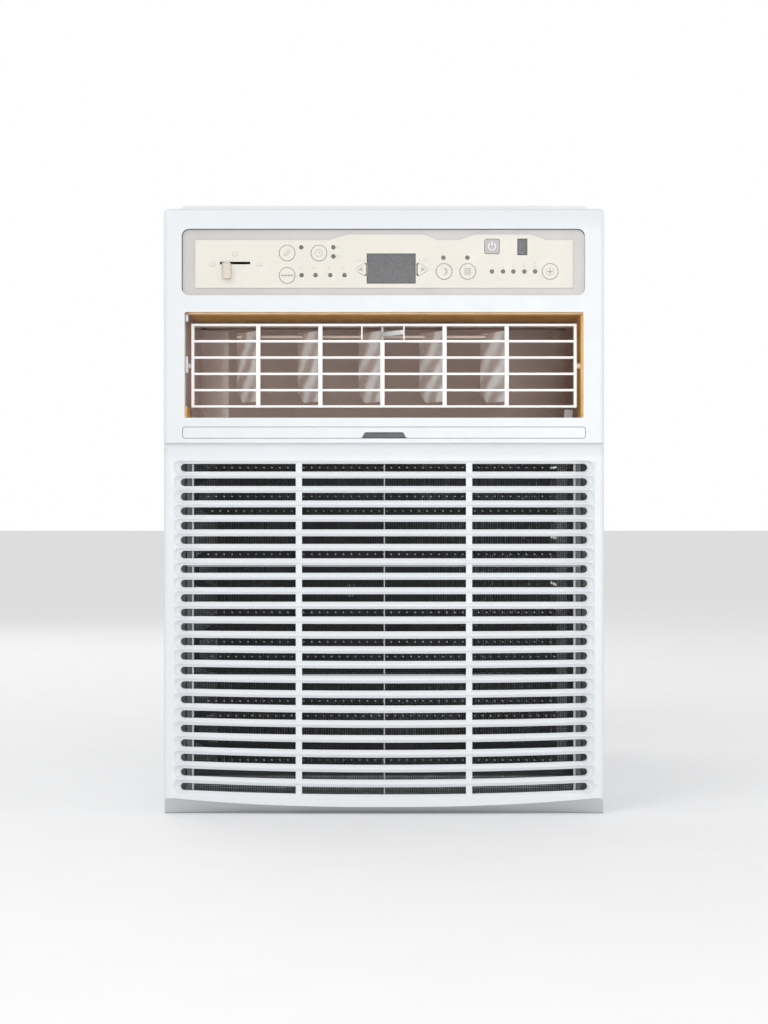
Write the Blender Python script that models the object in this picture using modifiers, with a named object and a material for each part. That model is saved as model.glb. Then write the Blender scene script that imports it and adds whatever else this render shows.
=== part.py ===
"""Window air conditioner for a narrow sliding or casement window, as an assembly of separate parts.

Metres, +Z up. The front faces -Y, +X is to the right of someone standing in front of it, and the
origin is at the bottom centre of the whole object. Touching parts keep a gap of 0.3 mm.
"""
import math

import bmesh
import bpy
from mathutils import Matrix

# ---- driving dimensions ----
WIDTH = 0.370
DEPTH = 0.610
HEIGHT = 0.518
GAP = 0.0003

# Front panel: an upper fascia over an intake grille, in one plane but for a small step.
LEVER_PROUD = 0.003
FRONT = -DEPTH / 2 + LEVER_PROUD
PANEL_HALF = WIDTH / 2
PANEL_TOP = 0.509
PANEL_DEPTH = 0.055
PANEL_WALL = 0.003
SPLIT_Z = 0.3115
STEP_BACK = 0.0015

# Steel cabinet behind the panel.
CABINET_HALF = 0.177
SHEET = 0.0012
CABINET_FRONT = FRONT + PANEL_DEPTH + GAP
BACK = DEPTH / 2
PAN_FLOOR = 0.0015
PAN_WALL = 0.027

# Intake slots, numbered from the top. The lower ones sag towards the middle.
SLOT_COUNT = 23
SLOT_HALF = 0.1709
SLOT_TOP_Z = 0.2912
SLOT_PITCH = 0.01216
SLOT_HEIGHT_TOP = 0.0068
SLOT_HEIGHT_BOTTOM = 0.0064
STRAIGHT_SLOTS = 9
SAG_PER_SLOT = 0.00031
MULLION_X = 0.0715
MULLION_WIDTH = 0.0052

# Air filter behind the grille, and its pull handle.
FILTER_FRONT = FRONT + 0.0080
FILTER_THICK = 0.0040
FILTER_HALF = 0.1665
FILTER_LOW = 0.012
FILTER_HIGH = 0.306
HANDLE_HALF = 0.169
HANDLE_LOW = 0.3160
HANDLE_HIGH = 0.3252

# Discharge opening, duct and louvers.
OPENING_HALF = 0.1673
OPENING_LOW = 0.3331
OPENING_HIGH = 0.4218
DUCT_WALL = 0.0028
DUCT_BACK = -0.105
LOUVER_HALF = 0.1627
LOUVER_LOW = 0.3423
LOUVER_HIGH = 0.4130
LOUVER_FRONT = FRONT + 0.014
LOUVER_DEPTH = 0.008
LOUVER_AXIS_Y = FRONT + 0.020
LOUVER_AXIS_Z = (LOUVER_LOW + LOUVER_HIGH) / 2
BAR = 0.0018
RIB = 0.0034
POST = 0.0011
RIB_FIRST_X = -0.1063
RIB_PITCH = 0.0525
POSTS_X = (-0.0187, 0.0168)
VANE_AXIS_Y = FRONT + 0.028
VANE_LOW = 0.3479
VANE_HIGH = 0.4082
VANE_CHORD = 0.038
VANE_THICK = 0.0012
VANE_TURN = math.radians(32)
TIE_RADIUS = 0.033
TIE_Z = 0.4048

# Control panel.
RECESS = (-0.1698, 0.1687, 0.4359, 0.4917)
RECESS_RADIUS = 0.0063
OVERLAY_HALF = 0.1585
OVERLAY_LOW = 0.4422
OVERLAY_HIGH = 0.4824
BUMP_HIGH = 0.4870
OVERLAY_FRONT = FRONT + 0.0022
OVERLAY_THICK = 0.0008
BEZEL_FRONT = FRONT + PANEL_WALL + GAP
BEZEL_THICK = 0.0020
BUTTON_PROUD = 0.0004
BUTTON_RADIUS = 0.0066
ROUND_BUTTONS = {
    "eco_button": (-0.0813, 0.4715),
    "timer_button": (-0.0546, 0.4715),
    "mode_button": (-0.0813, 0.4527),
    "sleep_button": (0.0505, 0.4560),
    "filter_button": (0.0703, 0.4560),
    "fan_button": (0.1395, 0.4560),
}
POWER_CENTRE = (0.0907, 0.4770)
POWER_HALF = 0.0061
TEMPERATURE_BUTTONS = {
    "temperature_down_button": (-0.0195, 0.4577, -1),
    "temperature_up_button": (0.0326, 0.4577, 1),
}
DISPLAY = (-0.0142, 0.0263, 0.4461, 0.4708)
IR_WINDOW = (0.1123, 0.1201, 0.4700, 0.4833)
LENS_RADIUS = 0.0017
LEFT_LENSES = ((-0.0695, 0.4763), (-0.0425, 0.4763), (-0.0425, 0.4686), (-0.0692, 0.4529),
               (-0.0575, 0.4529), (-0.0451, 0.4529), (-0.0331, 0.4529))
RIGHT_LENSES = ((0.0499, 0.4676), (0.0701, 0.4676), (0.0907, 0.4560), (0.1000, 0.4560),
                (0.1086, 0.4560), (0.1179, 0.4560), (0.1269, 0.4560))
VENT_SLOT = (-0.1377, -0.1123, 0.4620, 0.4642)
VENT_X = -0.1318
VENT_Z = 0.4631

# Machinery.
SHAFT_X = -0.030
SHAFT_Z = 0.185
SHAFT_RADIUS = 0.006
BULKHEAD_FRONT = -0.1014
TUBE = 0.0035
EVAPORATOR_Y = -0.232
CONDENSER_Y = 0.250
COMPRESSOR = (0.100, 0.055)
COMPRESSOR_RADIUS = 0.052
COMPRESSOR_TOP = 0.236
ACCUMULATOR = (0.120, 0.128)
ACCUMULATOR_TOP = 0.170

# Looks: colour, roughness, metallic.
WHITE_PLASTIC = ((0.86, 0.88, 0.90), 0.42, 0.0)
CREAM_PLASTIC = ((0.80, 0.77, 0.68), 0.50, 0.0)
GREY_PLASTIC = ((0.60, 0.56, 0.57), 0.50, 0.0)
DARK_PLASTIC = ((0.05, 0.05, 0.06), 0.30, 0.0)
VANE_PLASTIC = ((0.68, 0.58, 0.54), 0.40, 0.0)
AMBER_FOAM = ((0.62, 0.30, 0.06), 0.70, 0.0)
FOAM = ((0.85, 0.85, 0.83), 0.80, 0.0)
PAINTED_STEEL = ((0.84, 0.85, 0.84), 0.45, 0.2)
GALVANISED = ((0.55, 0.56, 0.57), 0.40, 0.9)
FIN_ALUMINIUM = ((0.62, 0.63, 0.65), 0.35, 0.9)
COPPER = ((0.72, 0.38, 0.22), 0.30, 1.0)
BLACK_STEEL = ((0.03, 0.03, 0.03), 0.45, 0.3)
BRIGHT_STEEL = ((0.65, 0.65, 0.66), 0.25, 1.0)
FAN_PLASTIC = ((0.10, 0.10, 0.11), 0.55, 0.0)
RUBBER = ((0.02, 0.02, 0.02), 0.80, 0.0)
BOARD = ((0.05, 0.22, 0.10), 0.50, 0.0)

for old in list(bpy.data.objects):
    bpy.data.objects.remove(old)

parts = bpy.data.collections.new("window_air_conditioner")
cutters = bpy.data.collections.new("cutters")
bpy.context.scene.collection.children.link(parts)
bpy.context.scene.collection.children.link(cutters)


# ---- placing, painting, cutting and joining ----
def keep(obj, look):
    """Make an object a part of the assembly, with its own material."""
    colour, roughness, metallic = look
    material = bpy.data.materials.new(obj.name)
    material.use_nodes = True
    shader = material.node_tree.nodes["Principled BSDF"]
    shader.inputs["Base Color"].default_value = (*colour, 1.0)
    shader.inputs["Roughness"].default_value = roughness
    shader.inputs["Metallic"].default_value = metallic
    obj.data.materials.clear()
    obj.data.materials.append(material)
    parts.objects.link(obj)
    return obj


def tool(obj):
    """Make an object a cutter or a joined piece, which isn't a part itself."""
    obj.hide_render = True
    obj.display_type = 'WIRE'
    cutters.objects.link(obj)
    return obj


def combine(part, operation, pieces):
    """Add one exact Boolean modifier to the part for each piece."""
    for piece in pieces:
        modifier = part.modifiers.new(piece.name, 'BOOLEAN')
        modifier.operation = operation
        modifier.solver = 'EXACT'
        modifier.object = piece
    return part


def cut(part, *pieces):
    return combine(part, 'DIFFERENCE', pieces)


def join(part, *pieces):
    return combine(part, 'UNION', pieces)


def smooth(obj, angle=30):
    obj.data.shade_smooth()
    obj.data.set_sharp_from_angle(angle=math.radians(angle))
    return obj


# ---- basic shapes ----
def mesh_object(name, bm, location=(0, 0, 0)):
    mesh = bpy.data.meshes.new(name)
    bm.to_mesh(mesh)
    bm.free()
    obj = bpy.data.objects.new(name, mesh)
    obj.location = location
    return obj


def block(name, low, high, rounded=None, radius=0.0, segments=2):
    """A box from corner to corner. Edges whose middle passes the test `rounded` get a radius."""
    centre = [(a + b) / 2 for a, b in zip(low, high)]
    size = [b - a for a, b in zip(low, high)]
    bm = bmesh.new()
    bmesh.ops.create_cube(bm, size=1.0)
    bmesh.ops.scale(bm, vec=size, verts=bm.verts)
    if rounded:
        edges = []
        for edge in bm.edges:
            middle = (edge.verts[0].co + edge.verts[1].co) / 2
            side = [round(2 * m / s) for m, s in zip(middle, size)]
            if rounded(*side):
                edges.append(edge)
        bmesh.ops.bevel(bm, geom=edges, offset=radius, segments=segments, profile=0.5, affect='EDGES')
    return mesh_object(name, bm, centre)


TURN_TO_AXIS = {"X": (0, math.pi / 2, 0), "Y": (-math.pi / 2, 0, 0), "Z": (0, 0, 0)}


def rod(name, start, axis, length, radius, sides=16):
    """A cylinder from a start point along +X, +Y or +Z."""
    bm = bmesh.new()
    bmesh.ops.create_cone(bm, cap_ends=True, segments=sides, radius1=radius, radius2=radius, depth=length)
    bmesh.ops.translate(bm, vec=(0, 0, length / 2), verts=bm.verts)
    obj = mesh_object(name, bm, start)
    obj.rotation_euler = TURN_TO_AXIS[axis]
    return smooth(obj)


def turned(name, profile, start, axis, steps=24, closed=False):
    """Turn a profile of (radius, height) points, listed from the top down its outer side."""
    bm = bmesh.new()
    verts = [bm.verts.new((radius, 0, height)) for radius, height in profile]
    for first, second in zip(verts, verts[1:]):
        bm.edges.new((first, second))
    if closed:
        bm.edges.new((verts[-1], verts[0]))
    obj = mesh_object(name, bm, start)
    obj.rotation_euler = TURN_TO_AXIS[axis]
    screw = obj.modifiers.new("turn", 'SCREW')
    screw.steps = steps
    screw.render_steps = steps
    screw.use_merge_vertices = True
    screw.merge_threshold = 0.00001
    screw.use_smooth_shade = True
    return obj


PLANES = {"XY": (0, 0, 0), "XZ": (math.pi / 2, 0, 0), "YZ": (math.pi / 2, 0, math.pi / 2)}


def plate(name, loops, plane, start, end):
    """A flat plate between two heights over its plane: the first loop is the outline, the rest holes."""
    curve = bpy.data.curves.new(name, 'CURVE')
    curve.dimensions = '2D'
    curve.fill_mode = 'BOTH'
    curve.extrude = abs(end - start) / 2
    for loop in loops:
        spline = curve.splines.new('POLY')
        spline.points.add(len(loop) - 1)
        for point, (a, b) in zip(spline.points, loop):
            point.co = (a, b, 0, 1)
        spline.use_cyclic_u = True
    middle = (start + end) / 2
    place = {"XY": (0, 0, middle), "XZ": (0, middle, 0), "YZ": (middle, 0, 0)}[plane]
    return as_mesh(name, curve, place, PLANES[plane])


def tube(name, points, radius, resolution=2):
    """A round tube with closed ends along a list of points."""
    curve = bpy.data.curves.new(name, 'CURVE')
    curve.dimensions = '3D'
    curve.bevel_depth = radius
    curve.bevel_resolution = resolution
    curve.use_fill_caps = True
    spline = curve.splines.new('POLY')
    spline.points.add(len(points) - 1)
    for point, place in zip(spline.points, points):
        point.co = (*place, 1)
    return smooth(as_mesh(name, curve, (0, 0, 0), (0, 0, 0)), 50)


def as_mesh(name, curve, location, rotation):
    """Turn a curve into a welded mesh object, and remove the curve."""
    source = bpy.data.objects.new(name + "_curve", curve)
    source.location = location
    source.rotation_euler = rotation
    bpy.context.scene.collection.objects.link(source)
    bpy.context.view_layer.update()
    evaluated = source.evaluated_get(bpy.context.evaluated_depsgraph_get())
    mesh = bpy.data.meshes.new_from_object(evaluated)
    bm = bmesh.new()
    bm.from_mesh(mesh)
    bmesh.ops.remove_doubles(bm, verts=bm.verts, dist=0.000001)
    bmesh.ops.recalc_face_normals(bm, faces=bm.faces)
    bm.to_mesh(mesh)
    bm.free()
    obj = bpy.data.objects.new(name, mesh)
    obj.matrix_world = source.matrix_world
    bpy.data.objects.remove(source)
    return obj


# ---- outlines and paths ----
def circle(centre, radius, sides=16):
    turns = [2 * math.pi * k / sides for k in range(sides)]
    return [(centre[0] + radius * math.cos(t), centre[1] + radius * math.sin(t)) for t in turns]


def rectangle(left, right, low, high):
    return [(left, low), (right, low), (right, high), (left, high)]


def rounded_corners(corners, radius, steps=3):
    """Replace each corner of a closed outline with an arc of the given radius."""
    return fillet([(a, b, 0) for a, b in corners], radius, steps, closed=True, flat=True)


def fillet(points, radius, steps=4, closed=False, flat=False):
    """Round the corners of a path with arcs."""
    count = len(points)
    path = []
    for index, corner in enumerate(points):
        if not closed and index in (0, count - 1):
            path.append(corner)
            continue
        before = points[index - 1]
        after = points[(index + 1) % count]
        to_before = unit([b - c for b, c in zip(before, corner)])
        to_after = unit([a - c for a, c in zip(after, corner)])
        half = math.acos(sum(a * b for a, b in zip(to_before, to_after))) / 2
        reach = radius / math.tan(half)
        middle = unit([a + b for a, b in zip(to_before, to_after)])
        centre = [c + m * radius / math.sin(half) for c, m in zip(corner, middle)]
        start = unit([c + t * reach - o for c, t, o in zip(corner, to_before, centre)])
        end = unit([c + t * reach - o for c, t, o in zip(corner, to_after, centre)])
        sweep = math.pi - 2 * half
        for step in range(steps + 1):
            angle = sweep * step / steps
            weight_start = math.sin(sweep - angle) / math.sin(sweep)
            weight_end = math.sin(angle) / math.sin(sweep)
            point = [o + radius * (weight_start * s + weight_end * e) for o, s, e in zip(centre, start, end)]
            path.append(tuple(point))
    return [point[:2] for point in path] if flat else path


def unit(vector):
    length = math.sqrt(sum(v * v for v in vector))
    return [v / length for v in vector]


def sagging_slot(half, centre_z, height, sag):
    """A long slot with round ends, whose middle sags below its ends by `sag`."""
    pieces = 6 if sag else 1
    straight = half - height / 2
    places = [-straight + 2 * straight * k / pieces for k in range(pieces + 1)]

    def drop(x):
        return sag * (1 - (x / straight) ** 2)

    lower = [(x, centre_z - height / 2 - drop(x)) for x in places]
    upper = [(x, centre_z + height / 2 - drop(x)) for x in reversed(places)]
    angles = [math.pi * k / 4 for k in (-1, 0, 1)]
    right = [(straight + height / 2 * math.cos(a), centre_z + height / 2 * math.sin(a)) for a in angles]
    left = [(-x, 2 * centre_z - z) for x, z in right]
    return lower + right + upper + left


# ---- front panel ----
def front_panel():
    """The two mouldings that make the white front, open at the back."""
    rear = FRONT + PANEL_DEPTH
    far = rear + 0.01

    def fascia_edges(x, y, z):
        return (y == -1 and (x != 0 or z == 1)) or (x != 0 and z == 1)

    fascia = block("upper_fascia", (-PANEL_HALF, FRONT, SPLIT_Z + GAP), (PANEL_HALF, rear, PANEL_TOP),
                   fascia_edges, 0.0032)
    inside = PANEL_HALF - PANEL_WALL
    cavity = block("fascia_cavity", (-inside, FRONT + PANEL_WALL, SPLIT_Z - 0.01),
                   (inside, far, PANEL_TOP - PANEL_WALL))
    openings = plate("fascia_openings", [
        rectangle(-OPENING_HALF, OPENING_HALF, OPENING_LOW, OPENING_HIGH),
        rounded_corners(rectangle(*RECESS), RECESS_RADIUS),
        rounded_corners(rectangle(-HANDLE_HALF - GAP, HANDLE_HALF + GAP,
                                  HANDLE_LOW - GAP, HANDLE_HIGH + GAP), 0.002),
    ], "XZ", FRONT - 0.01, FRONT + 0.02)
    keep(cut(fascia, tool(cavity), tool(openings)), WHITE_PLASTIC)

    def grille_edges(x, y, z):
        return (y == -1 and x != 0) or (x != 0 and z == -1)

    face = FRONT + STEP_BACK
    grille = block("intake_grille", (-PANEL_HALF, face, 0), (PANEL_HALF, rear, SPLIT_Z - GAP),
                   grille_edges, 0.0030)
    cavity = block("grille_cavity", (-inside, face + PANEL_WALL, PANEL_WALL), (inside, far, SPLIT_Z + 0.01))
    chin = plate("grille_chin", [[(face - 0.005, -0.001), (face - 0.005, 0.0065), (face, 0.0065),
                                  (face + 0.005, 0), (face + 0.005, -0.001)]],
                 "YZ", -WIDTH, WIDTH)
    slots = []
    for number in range(SLOT_COUNT):
        share = number / (SLOT_COUNT - 1)
        height = SLOT_HEIGHT_TOP + share * (SLOT_HEIGHT_BOTTOM - SLOT_HEIGHT_TOP)
        sag = max(0, number + 1 - STRAIGHT_SLOTS) * SAG_PER_SLOT
        slots.append(sagging_slot(SLOT_HALF, SLOT_TOP_Z - number * SLOT_PITCH, height, sag))
    slot_cutter = plate("grille_slots", slots, "XZ", face - 0.01, face + 0.02)
    keep(cut(grille, tool(cavity), tool(chin), tool(slot_cutter)), WHITE_PLASTIC)
    ribs = []
    for side in (-1, 1):
        middle = side * MULLION_X
        rib = block(f"mullion_{side}", (middle - MULLION_WIDTH / 2, face + 0.0016, 0.006),
                    (middle + MULLION_WIDTH / 2, face + 0.0055, 0.304))
        ribs.append(tool(rib))
    join(grille, *ribs)


# ---- filter ----
def filter_set():
    """The air filter's frame and mesh, and the pull handle over it."""
    windows = []
    for left, right in ((-0.1600, -0.0006), (0.0006, 0.1585)):
        for low, high in ((0.026, 0.118), (0.121, 0.212), (0.215, 0.300)):
            windows.append(rounded_corners(rectangle(left, right, low, high), 0.004))
    outline = rectangle(-FILTER_HALF, FILTER_HALF, FILTER_LOW, FILTER_HIGH)
    screen = plate("filter_screen", [outline, *windows], "XZ", FILTER_FRONT, FILTER_FRONT + FILTER_THICK)
    mesh_y = FILTER_FRONT + 0.0020
    mesh = block("filter_mesh", (-FILTER_HALF + 0.002, mesh_y, FILTER_LOW + 0.002),
                 (FILTER_HALF - 0.002, mesh_y + 0.0008, FILTER_HIGH - 0.002))
    keep(join(screen, tool(mesh)), DARK_PLASTIC)

    notch = [(-0.0185, HANDLE_LOW), (-0.0162, 0.3209), (0.0162, 0.3209), (0.0185, HANDLE_LOW)]
    outline = [(-HANDLE_HALF, HANDLE_LOW), *notch, (HANDLE_HALF, HANDLE_LOW),
               (HANDLE_HALF, HANDLE_HIGH), (-HANDLE_HALF, HANDLE_HIGH)]
    handle = plate("filter_handle", [rounded_corners(outline, 0.0018, 2)], "XZ", FRONT + 0.0003, FRONT + 0.0028)
    flange = block("handle_flange", (-HANDLE_HALF + 0.004, FRONT + 0.0018, 0.3222),
                   (HANDLE_HALF - 0.004, FRONT + 0.0195, 0.3238))
    keep(join(handle, tool(flange)), WHITE_PLASTIC)


# ---- control panel ----
def button_outline(centre, radius):
    return circle(centre, radius, 12)


def arrow_outline(x, z, way, grow=0.0):
    """A rounded triangle that points left (way -1) or right (way 1)."""
    half = 0.0058 + grow * 1.6
    tip = 0.0052 + grow * 2
    back = 0.0042 + grow
    corners = [(x - way * back, z - half), (x + way * tip, z), (x - way * back, z + half)]
    return rounded_corners(corners, 0.0012 + grow)


def button(name, outline, wide_outline, centre):
    """A push button: a cap in the panel, a flange behind the bezel and a stem to its switch."""
    rear = BEZEL_FRONT + BEZEL_THICK
    cap = plate(name, [outline], "XZ", OVERLAY_FRONT - BUTTON_PROUD, rear + 0.0008)
    flange = plate(name + "_flange", [wide_outline], "XZ", rear + GAP, rear + 0.0013)
    x, z = centre
    stem = rod(name + "_stem", (x, rear + 0.0010, z), "Y", 0.0027, 0.0020, 6)
    keep(join(cap, tool(flange), tool(stem)), CREAM_PLASTIC)


def control_panel():
    """The bezel, the overlay and what shows through them, in the recess of the fascia."""
    clear = 0.0003
    holes = [button_outline(centre, BUTTON_RADIUS + clear) for centre in ROUND_BUTTONS.values()]
    x, z = POWER_CENTRE
    grown = POWER_HALF + clear
    holes.append(rounded_corners(rectangle(x - grown, x + grown, z - grown, z + grown), 0.0018))
    for x, z, way in TEMPERATURE_BUTTONS.values():
        holes.append(arrow_outline(x, z, way, clear))
    holes += [rectangle(DISPLAY[0] - clear, DISPLAY[1] + clear, DISPLAY[2] - clear, DISPLAY[3] + clear)]
    holes += [rectangle(IR_WINDOW[0] - clear, IR_WINDOW[1] + clear, IR_WINDOW[2] - clear, IR_WINDOW[3] + clear)]
    holes += [rectangle(*VENT_SLOT)]
    holes += [circle(centre, LENS_RADIUS + clear, 6) for centre in LEFT_LENSES + RIGHT_LENSES]

    bumps = [(0.1365, OVERLAY_HIGH), (0.1227, BUMP_HIGH), (0.0761, BUMP_HIGH), (0.0636, OVERLAY_HIGH),
             (0.0447, OVERLAY_HIGH), (0.0334, BUMP_HIGH), (-0.0308, BUMP_HIGH), (-0.0457, OVERLAY_HIGH)]
    outline = [(-OVERLAY_HALF, OVERLAY_LOW), (OVERLAY_HALF, OVERLAY_LOW), (OVERLAY_HALF, OVERLAY_HIGH),
               *bumps, (-OVERLAY_HALF, OVERLAY_HIGH)]
    overlay = plate("control_overlay", [outline, *holes], "XZ", OVERLAY_FRONT, OVERLAY_FRONT + OVERLAY_THICK)
    keep(overlay, CREAM_PLASTIC)
    frame = rectangle(RECESS[0] - 0.0035, RECESS[1] + 0.0035, RECESS[2] - 0.0035, RECESS[3] + 0.0035)
    bezel = plate("control_bezel", [frame, *holes], "XZ", BEZEL_FRONT, BEZEL_FRONT + BEZEL_THICK)
    keep(bezel, GREY_PLASTIC)

    rear = BEZEL_FRONT + BEZEL_THICK
    face = OVERLAY_FRONT - 0.0001
    keep(block("display_window", (DISPLAY[0], face, DISPLAY[2]), (DISPLAY[1], rear + 0.001, DISPLAY[3])),
         DARK_PLASTIC)
    keep(block("ir_window", (IR_WINDOW[0], face, IR_WINDOW[2]), (IR_WINDOW[1], rear + 0.001, IR_WINDOW[3])),
         DARK_PLASTIC)

    for name, centre in ROUND_BUTTONS.items():
        cap = button_outline(centre, BUTTON_RADIUS)
        button(name, cap, button_outline(centre, BUTTON_RADIUS + 0.001), centre)
    x, z = POWER_CENTRE
    cap = rounded_corners(rectangle(x - POWER_HALF, x + POWER_HALF, z - POWER_HALF, z + POWER_HALF), 0.0016)
    wide = POWER_HALF + 0.0009
    button("power_button", cap, rectangle(x - wide, x + wide, z - wide, z + wide), POWER_CENTRE)
    for name, (x, z, way) in TEMPERATURE_BUTTONS.items():
        button(name, arrow_outline(x, z, way), arrow_outline(x, z, way, 0.0009), (x, z))

    guide_front = rear + 0.0024
    left_plate = [(-0.0718, 0.4500), (-0.0300, 0.4500), (-0.0300, 0.4560), (-0.0395, 0.4560),
                  (-0.0395, 0.4790), (-0.0718, 0.4790)]
    right_plate = [(0.0878, 0.4530), (0.1298, 0.4530), (0.1298, 0.4592), (0.0940, 0.4592),
                   (0.0940, 0.4700), (0.0470, 0.4700), (0.0470, 0.4652), (0.0878, 0.4652)]
    stem_hole = circle(ROUND_BUTTONS["timer_button"], 0.0030, 8)
    guides = {"light_guide_left": ([left_plate, stem_hole], LEFT_LENSES),
              "light_guide_right": ([right_plate], RIGHT_LENSES)}
    for name, (loops, lenses) in guides.items():
        guide = plate(name, loops, "XZ", guide_front, guide_front + 0.0010)
        for number, (x, z) in enumerate(lenses):
            reach = guide_front + 0.0005 - face
            join(guide, tool(rod(f"{name}_lens_{number}", (x, face, z), "Y", reach, LENS_RADIUS, 6)))
        keep(guide, DARK_PLASTIC)

    board_y = rear + 0.0062
    board_outline = rectangle(-0.0950, 0.1550, 0.4380, 0.4900)
    board = plate("control_board", [board_outline], "XZ", board_y, board_y + 0.0016)
    centres = list(ROUND_BUTTONS.values()) + [POWER_CENTRE]
    centres += [(x, z) for x, z, way in TEMPERATURE_BUTTONS.values()]
    for number, (x, z) in enumerate(centres):
        switch = block(f"switch_{number}", (x - 0.003, board_y - 0.0014, z - 0.003),
                       (x + 0.003, board_y + 0.0005, z + 0.003))
        join(board, tool(switch))
    keep(board, BOARD)

    box = block("control_box", (-0.0900, FRONT + 0.0250, 0.4300), (0.1650, -0.1900, 0.5020))
    hollow = block("control_box_hollow", (-0.0885, FRONT, 0.4315), (0.1635, -0.1915, 0.5005))
    keep(cut(box, tool(hollow)), GALVANISED)
    keep(rod("capacitor", (0.060, -0.235, 0.4560), "X", 0.072, 0.021, 20), BRIGHT_STEEL)


# ---- vent control ----
def vent_control():
    """A lever on the panel that slides the shutter of the exhaust vent along the bulkhead."""
    knob = block("vent_lever", (VENT_X - 0.0034, FRONT - LEVER_PROUD, 0.4495),
                 (VENT_X + 0.0034, OVERLAY_FRONT - 0.0003, 0.4626), lambda x, y, z: y == -1, 0.0008, 2)
    stem = block("vent_stem", (VENT_X - 0.0025, FRONT - 0.0008, 0.4623),
                 (VENT_X + 0.0025, FRONT + 0.0080, 0.4638))
    keep(join(knob, tool(stem)), CREAM_PLASTIC)
    shutter_y = BULKHEAD_FRONT - 0.0023
    start = FRONT + 0.0080 + GAP
    keep(rod("vent_rod", (VENT_X, start, VENT_Z), "Y", shutter_y - GAP - start, 0.0020, 8), BRIGHT_STEEL)
    shutter = block("vent_shutter", (-0.1500, shutter_y, 0.4410), (-0.1140, shutter_y + 0.0020, 0.4850))
    keep(shutter, GALVANISED)


# ---- discharge duct and louvers ----
def pivot(name, location):
    empty = bpy.data.objects.new(name, None)
    empty.location = location
    parts.objects.link(empty)
    return empty


def hang(child, parent):
    """Parent a piece to an unturned pivot and leave it where it is."""
    child.parent = parent
    child.location = child.location - parent.location
    return child


def discharge():
    outer = OPENING_HALF + DUCT_WALL
    start = FRONT + PANEL_WALL + GAP
    duct = block("discharge_duct", (-outer, start, OPENING_LOW - DUCT_WALL),
                 (outer, DUCT_BACK, OPENING_HIGH + DUCT_WALL))
    inside = block("duct_inside", (-OPENING_HALF, start - 0.01, OPENING_LOW),
                   (OPENING_HALF, DUCT_BACK - DUCT_WALL, OPENING_HIGH))
    mouth = block("duct_mouth", (-0.1510, -0.2000, OPENING_LOW - 0.02), (0.0250, -0.1100, OPENING_LOW + 0.01))
    bearing = rod("duct_bearing", (-0.2, LOUVER_AXIS_Y, LOUVER_AXIS_Z), "X", 0.4, 0.0029, 12)
    keep(cut(duct, tool(inside), tool(mouth), tool(bearing)), AMBER_FOAM)

    frame_pivot = pivot("louver_pivot", (0, LOUVER_AXIS_Y, LOUVER_AXIS_Z))
    frame = louver_frame()
    hang(frame, frame_pivot)
    for number in range(5):
        vane(number, frame_pivot)
    tie_bar()
    vane_handle()


def louver_frame():
    """A grid of thin bars and ribs that tilts on a pin at each end."""
    side = 0.0023
    ribs = [RIB_FIRST_X + k * RIB_PITCH for k in range(5)]
    bar_pitch = (LOUVER_HIGH - LOUVER_LOW - BAR) / 5
    left, right = -LOUVER_HALF + side, LOUVER_HALF - side
    holes = []
    for row in range(5):
        low = LOUVER_LOW + BAR + row * bar_pitch
        high = low + bar_pitch - BAR
        uprights = [(x, RIB) for x in ribs]
        if row == 4:
            uprights[2:3] = [(x, POST) for x in POSTS_X]
        start = left
        for x, width in uprights:
            holes.append(rectangle(start, x - width / 2, low, high))
            start = x + width / 2
        holes.append(rectangle(start, right, low, high))
    rear = LOUVER_FRONT + LOUVER_DEPTH
    frame = block("louver_frame", (-LOUVER_HALF, LOUVER_FRONT, LOUVER_LOW), (LOUVER_HALF, rear, LOUVER_HIGH))
    for name, low, high in (("low", LOUVER_LOW, LOUVER_LOW + BAR), ("high", LOUVER_HIGH - BAR, LOUVER_HIGH)):
        shelf = block(f"louver_shelf_{name}", (-LOUVER_HALF + 0.0002, LOUVER_FRONT + 0.004, low + 0.0001),
                      (LOUVER_HALF - 0.0002, VANE_AXIS_Y + 0.004, high - 0.0001))
        join(frame, tool(shelf))
    for name, start in (("left", -0.1695), ("right", LOUVER_HALF - 0.001)):
        length = 0.1695 - LOUVER_HALF + 0.001
        pin = rod(f"louver_pin_{name}", (start, LOUVER_AXIS_Y, LOUVER_AXIS_Z), "X", length, 0.0025, 12)
        join(frame, tool(pin))
    cut(frame, tool(plate("louver_windows", holes, "XZ", LOUVER_FRONT - 0.01, rear + 0.01)))
    for number, x in enumerate(ribs):
        cut(frame, tool(rod(f"vane_bearing_{number + 1}", (x, VANE_AXIS_Y, 0.3), "Z", 0.2, 0.0015, 8)))
    return keep(frame, WHITE_PLASTIC)


def vane(number, frame_pivot):
    """One vertical vane, turned about its own pin in the louver frame."""
    x = RIB_FIRST_X + number * RIB_PITCH
    outline = [(-0.0010, VANE_LOW), (0.0280, VANE_LOW), (VANE_CHORD, 0.3566), (VANE_CHORD, 0.4025),
               (0.0295, 0.4025), (0.0295, 0.4071), (VANE_CHORD, 0.4071), (VANE_CHORD, VANE_HIGH),
               (-0.0010, VANE_HIGH)]
    blade = plate(f"vane_{number + 1}", [outline], "YZ", -VANE_THICK / 2, VANE_THICK / 2)
    axis = pivot(f"vane_pivot_{number + 1}", (x, VANE_AXIS_Y, 0))
    hang(axis, frame_pivot)
    pin_length = LOUVER_HIGH - LOUVER_LOW - 2 * GAP
    pin = rod(f"vane_pin_{number + 1}", (0, 0, LOUVER_LOW + GAP), "Z", pin_length, 0.0012, 8)
    hook = rod(f"vane_hook_{number + 1}", (0, TIE_RADIUS, 0.4010), "Z", 0.0066, 0.0008, 8)
    for piece in (pin, hook):
        tool(piece).parent = axis
    blade.parent = axis
    axis.rotation_euler.z = VANE_TURN
    keep(join(blade, pin, hook), VANE_PLASTIC)


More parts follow.
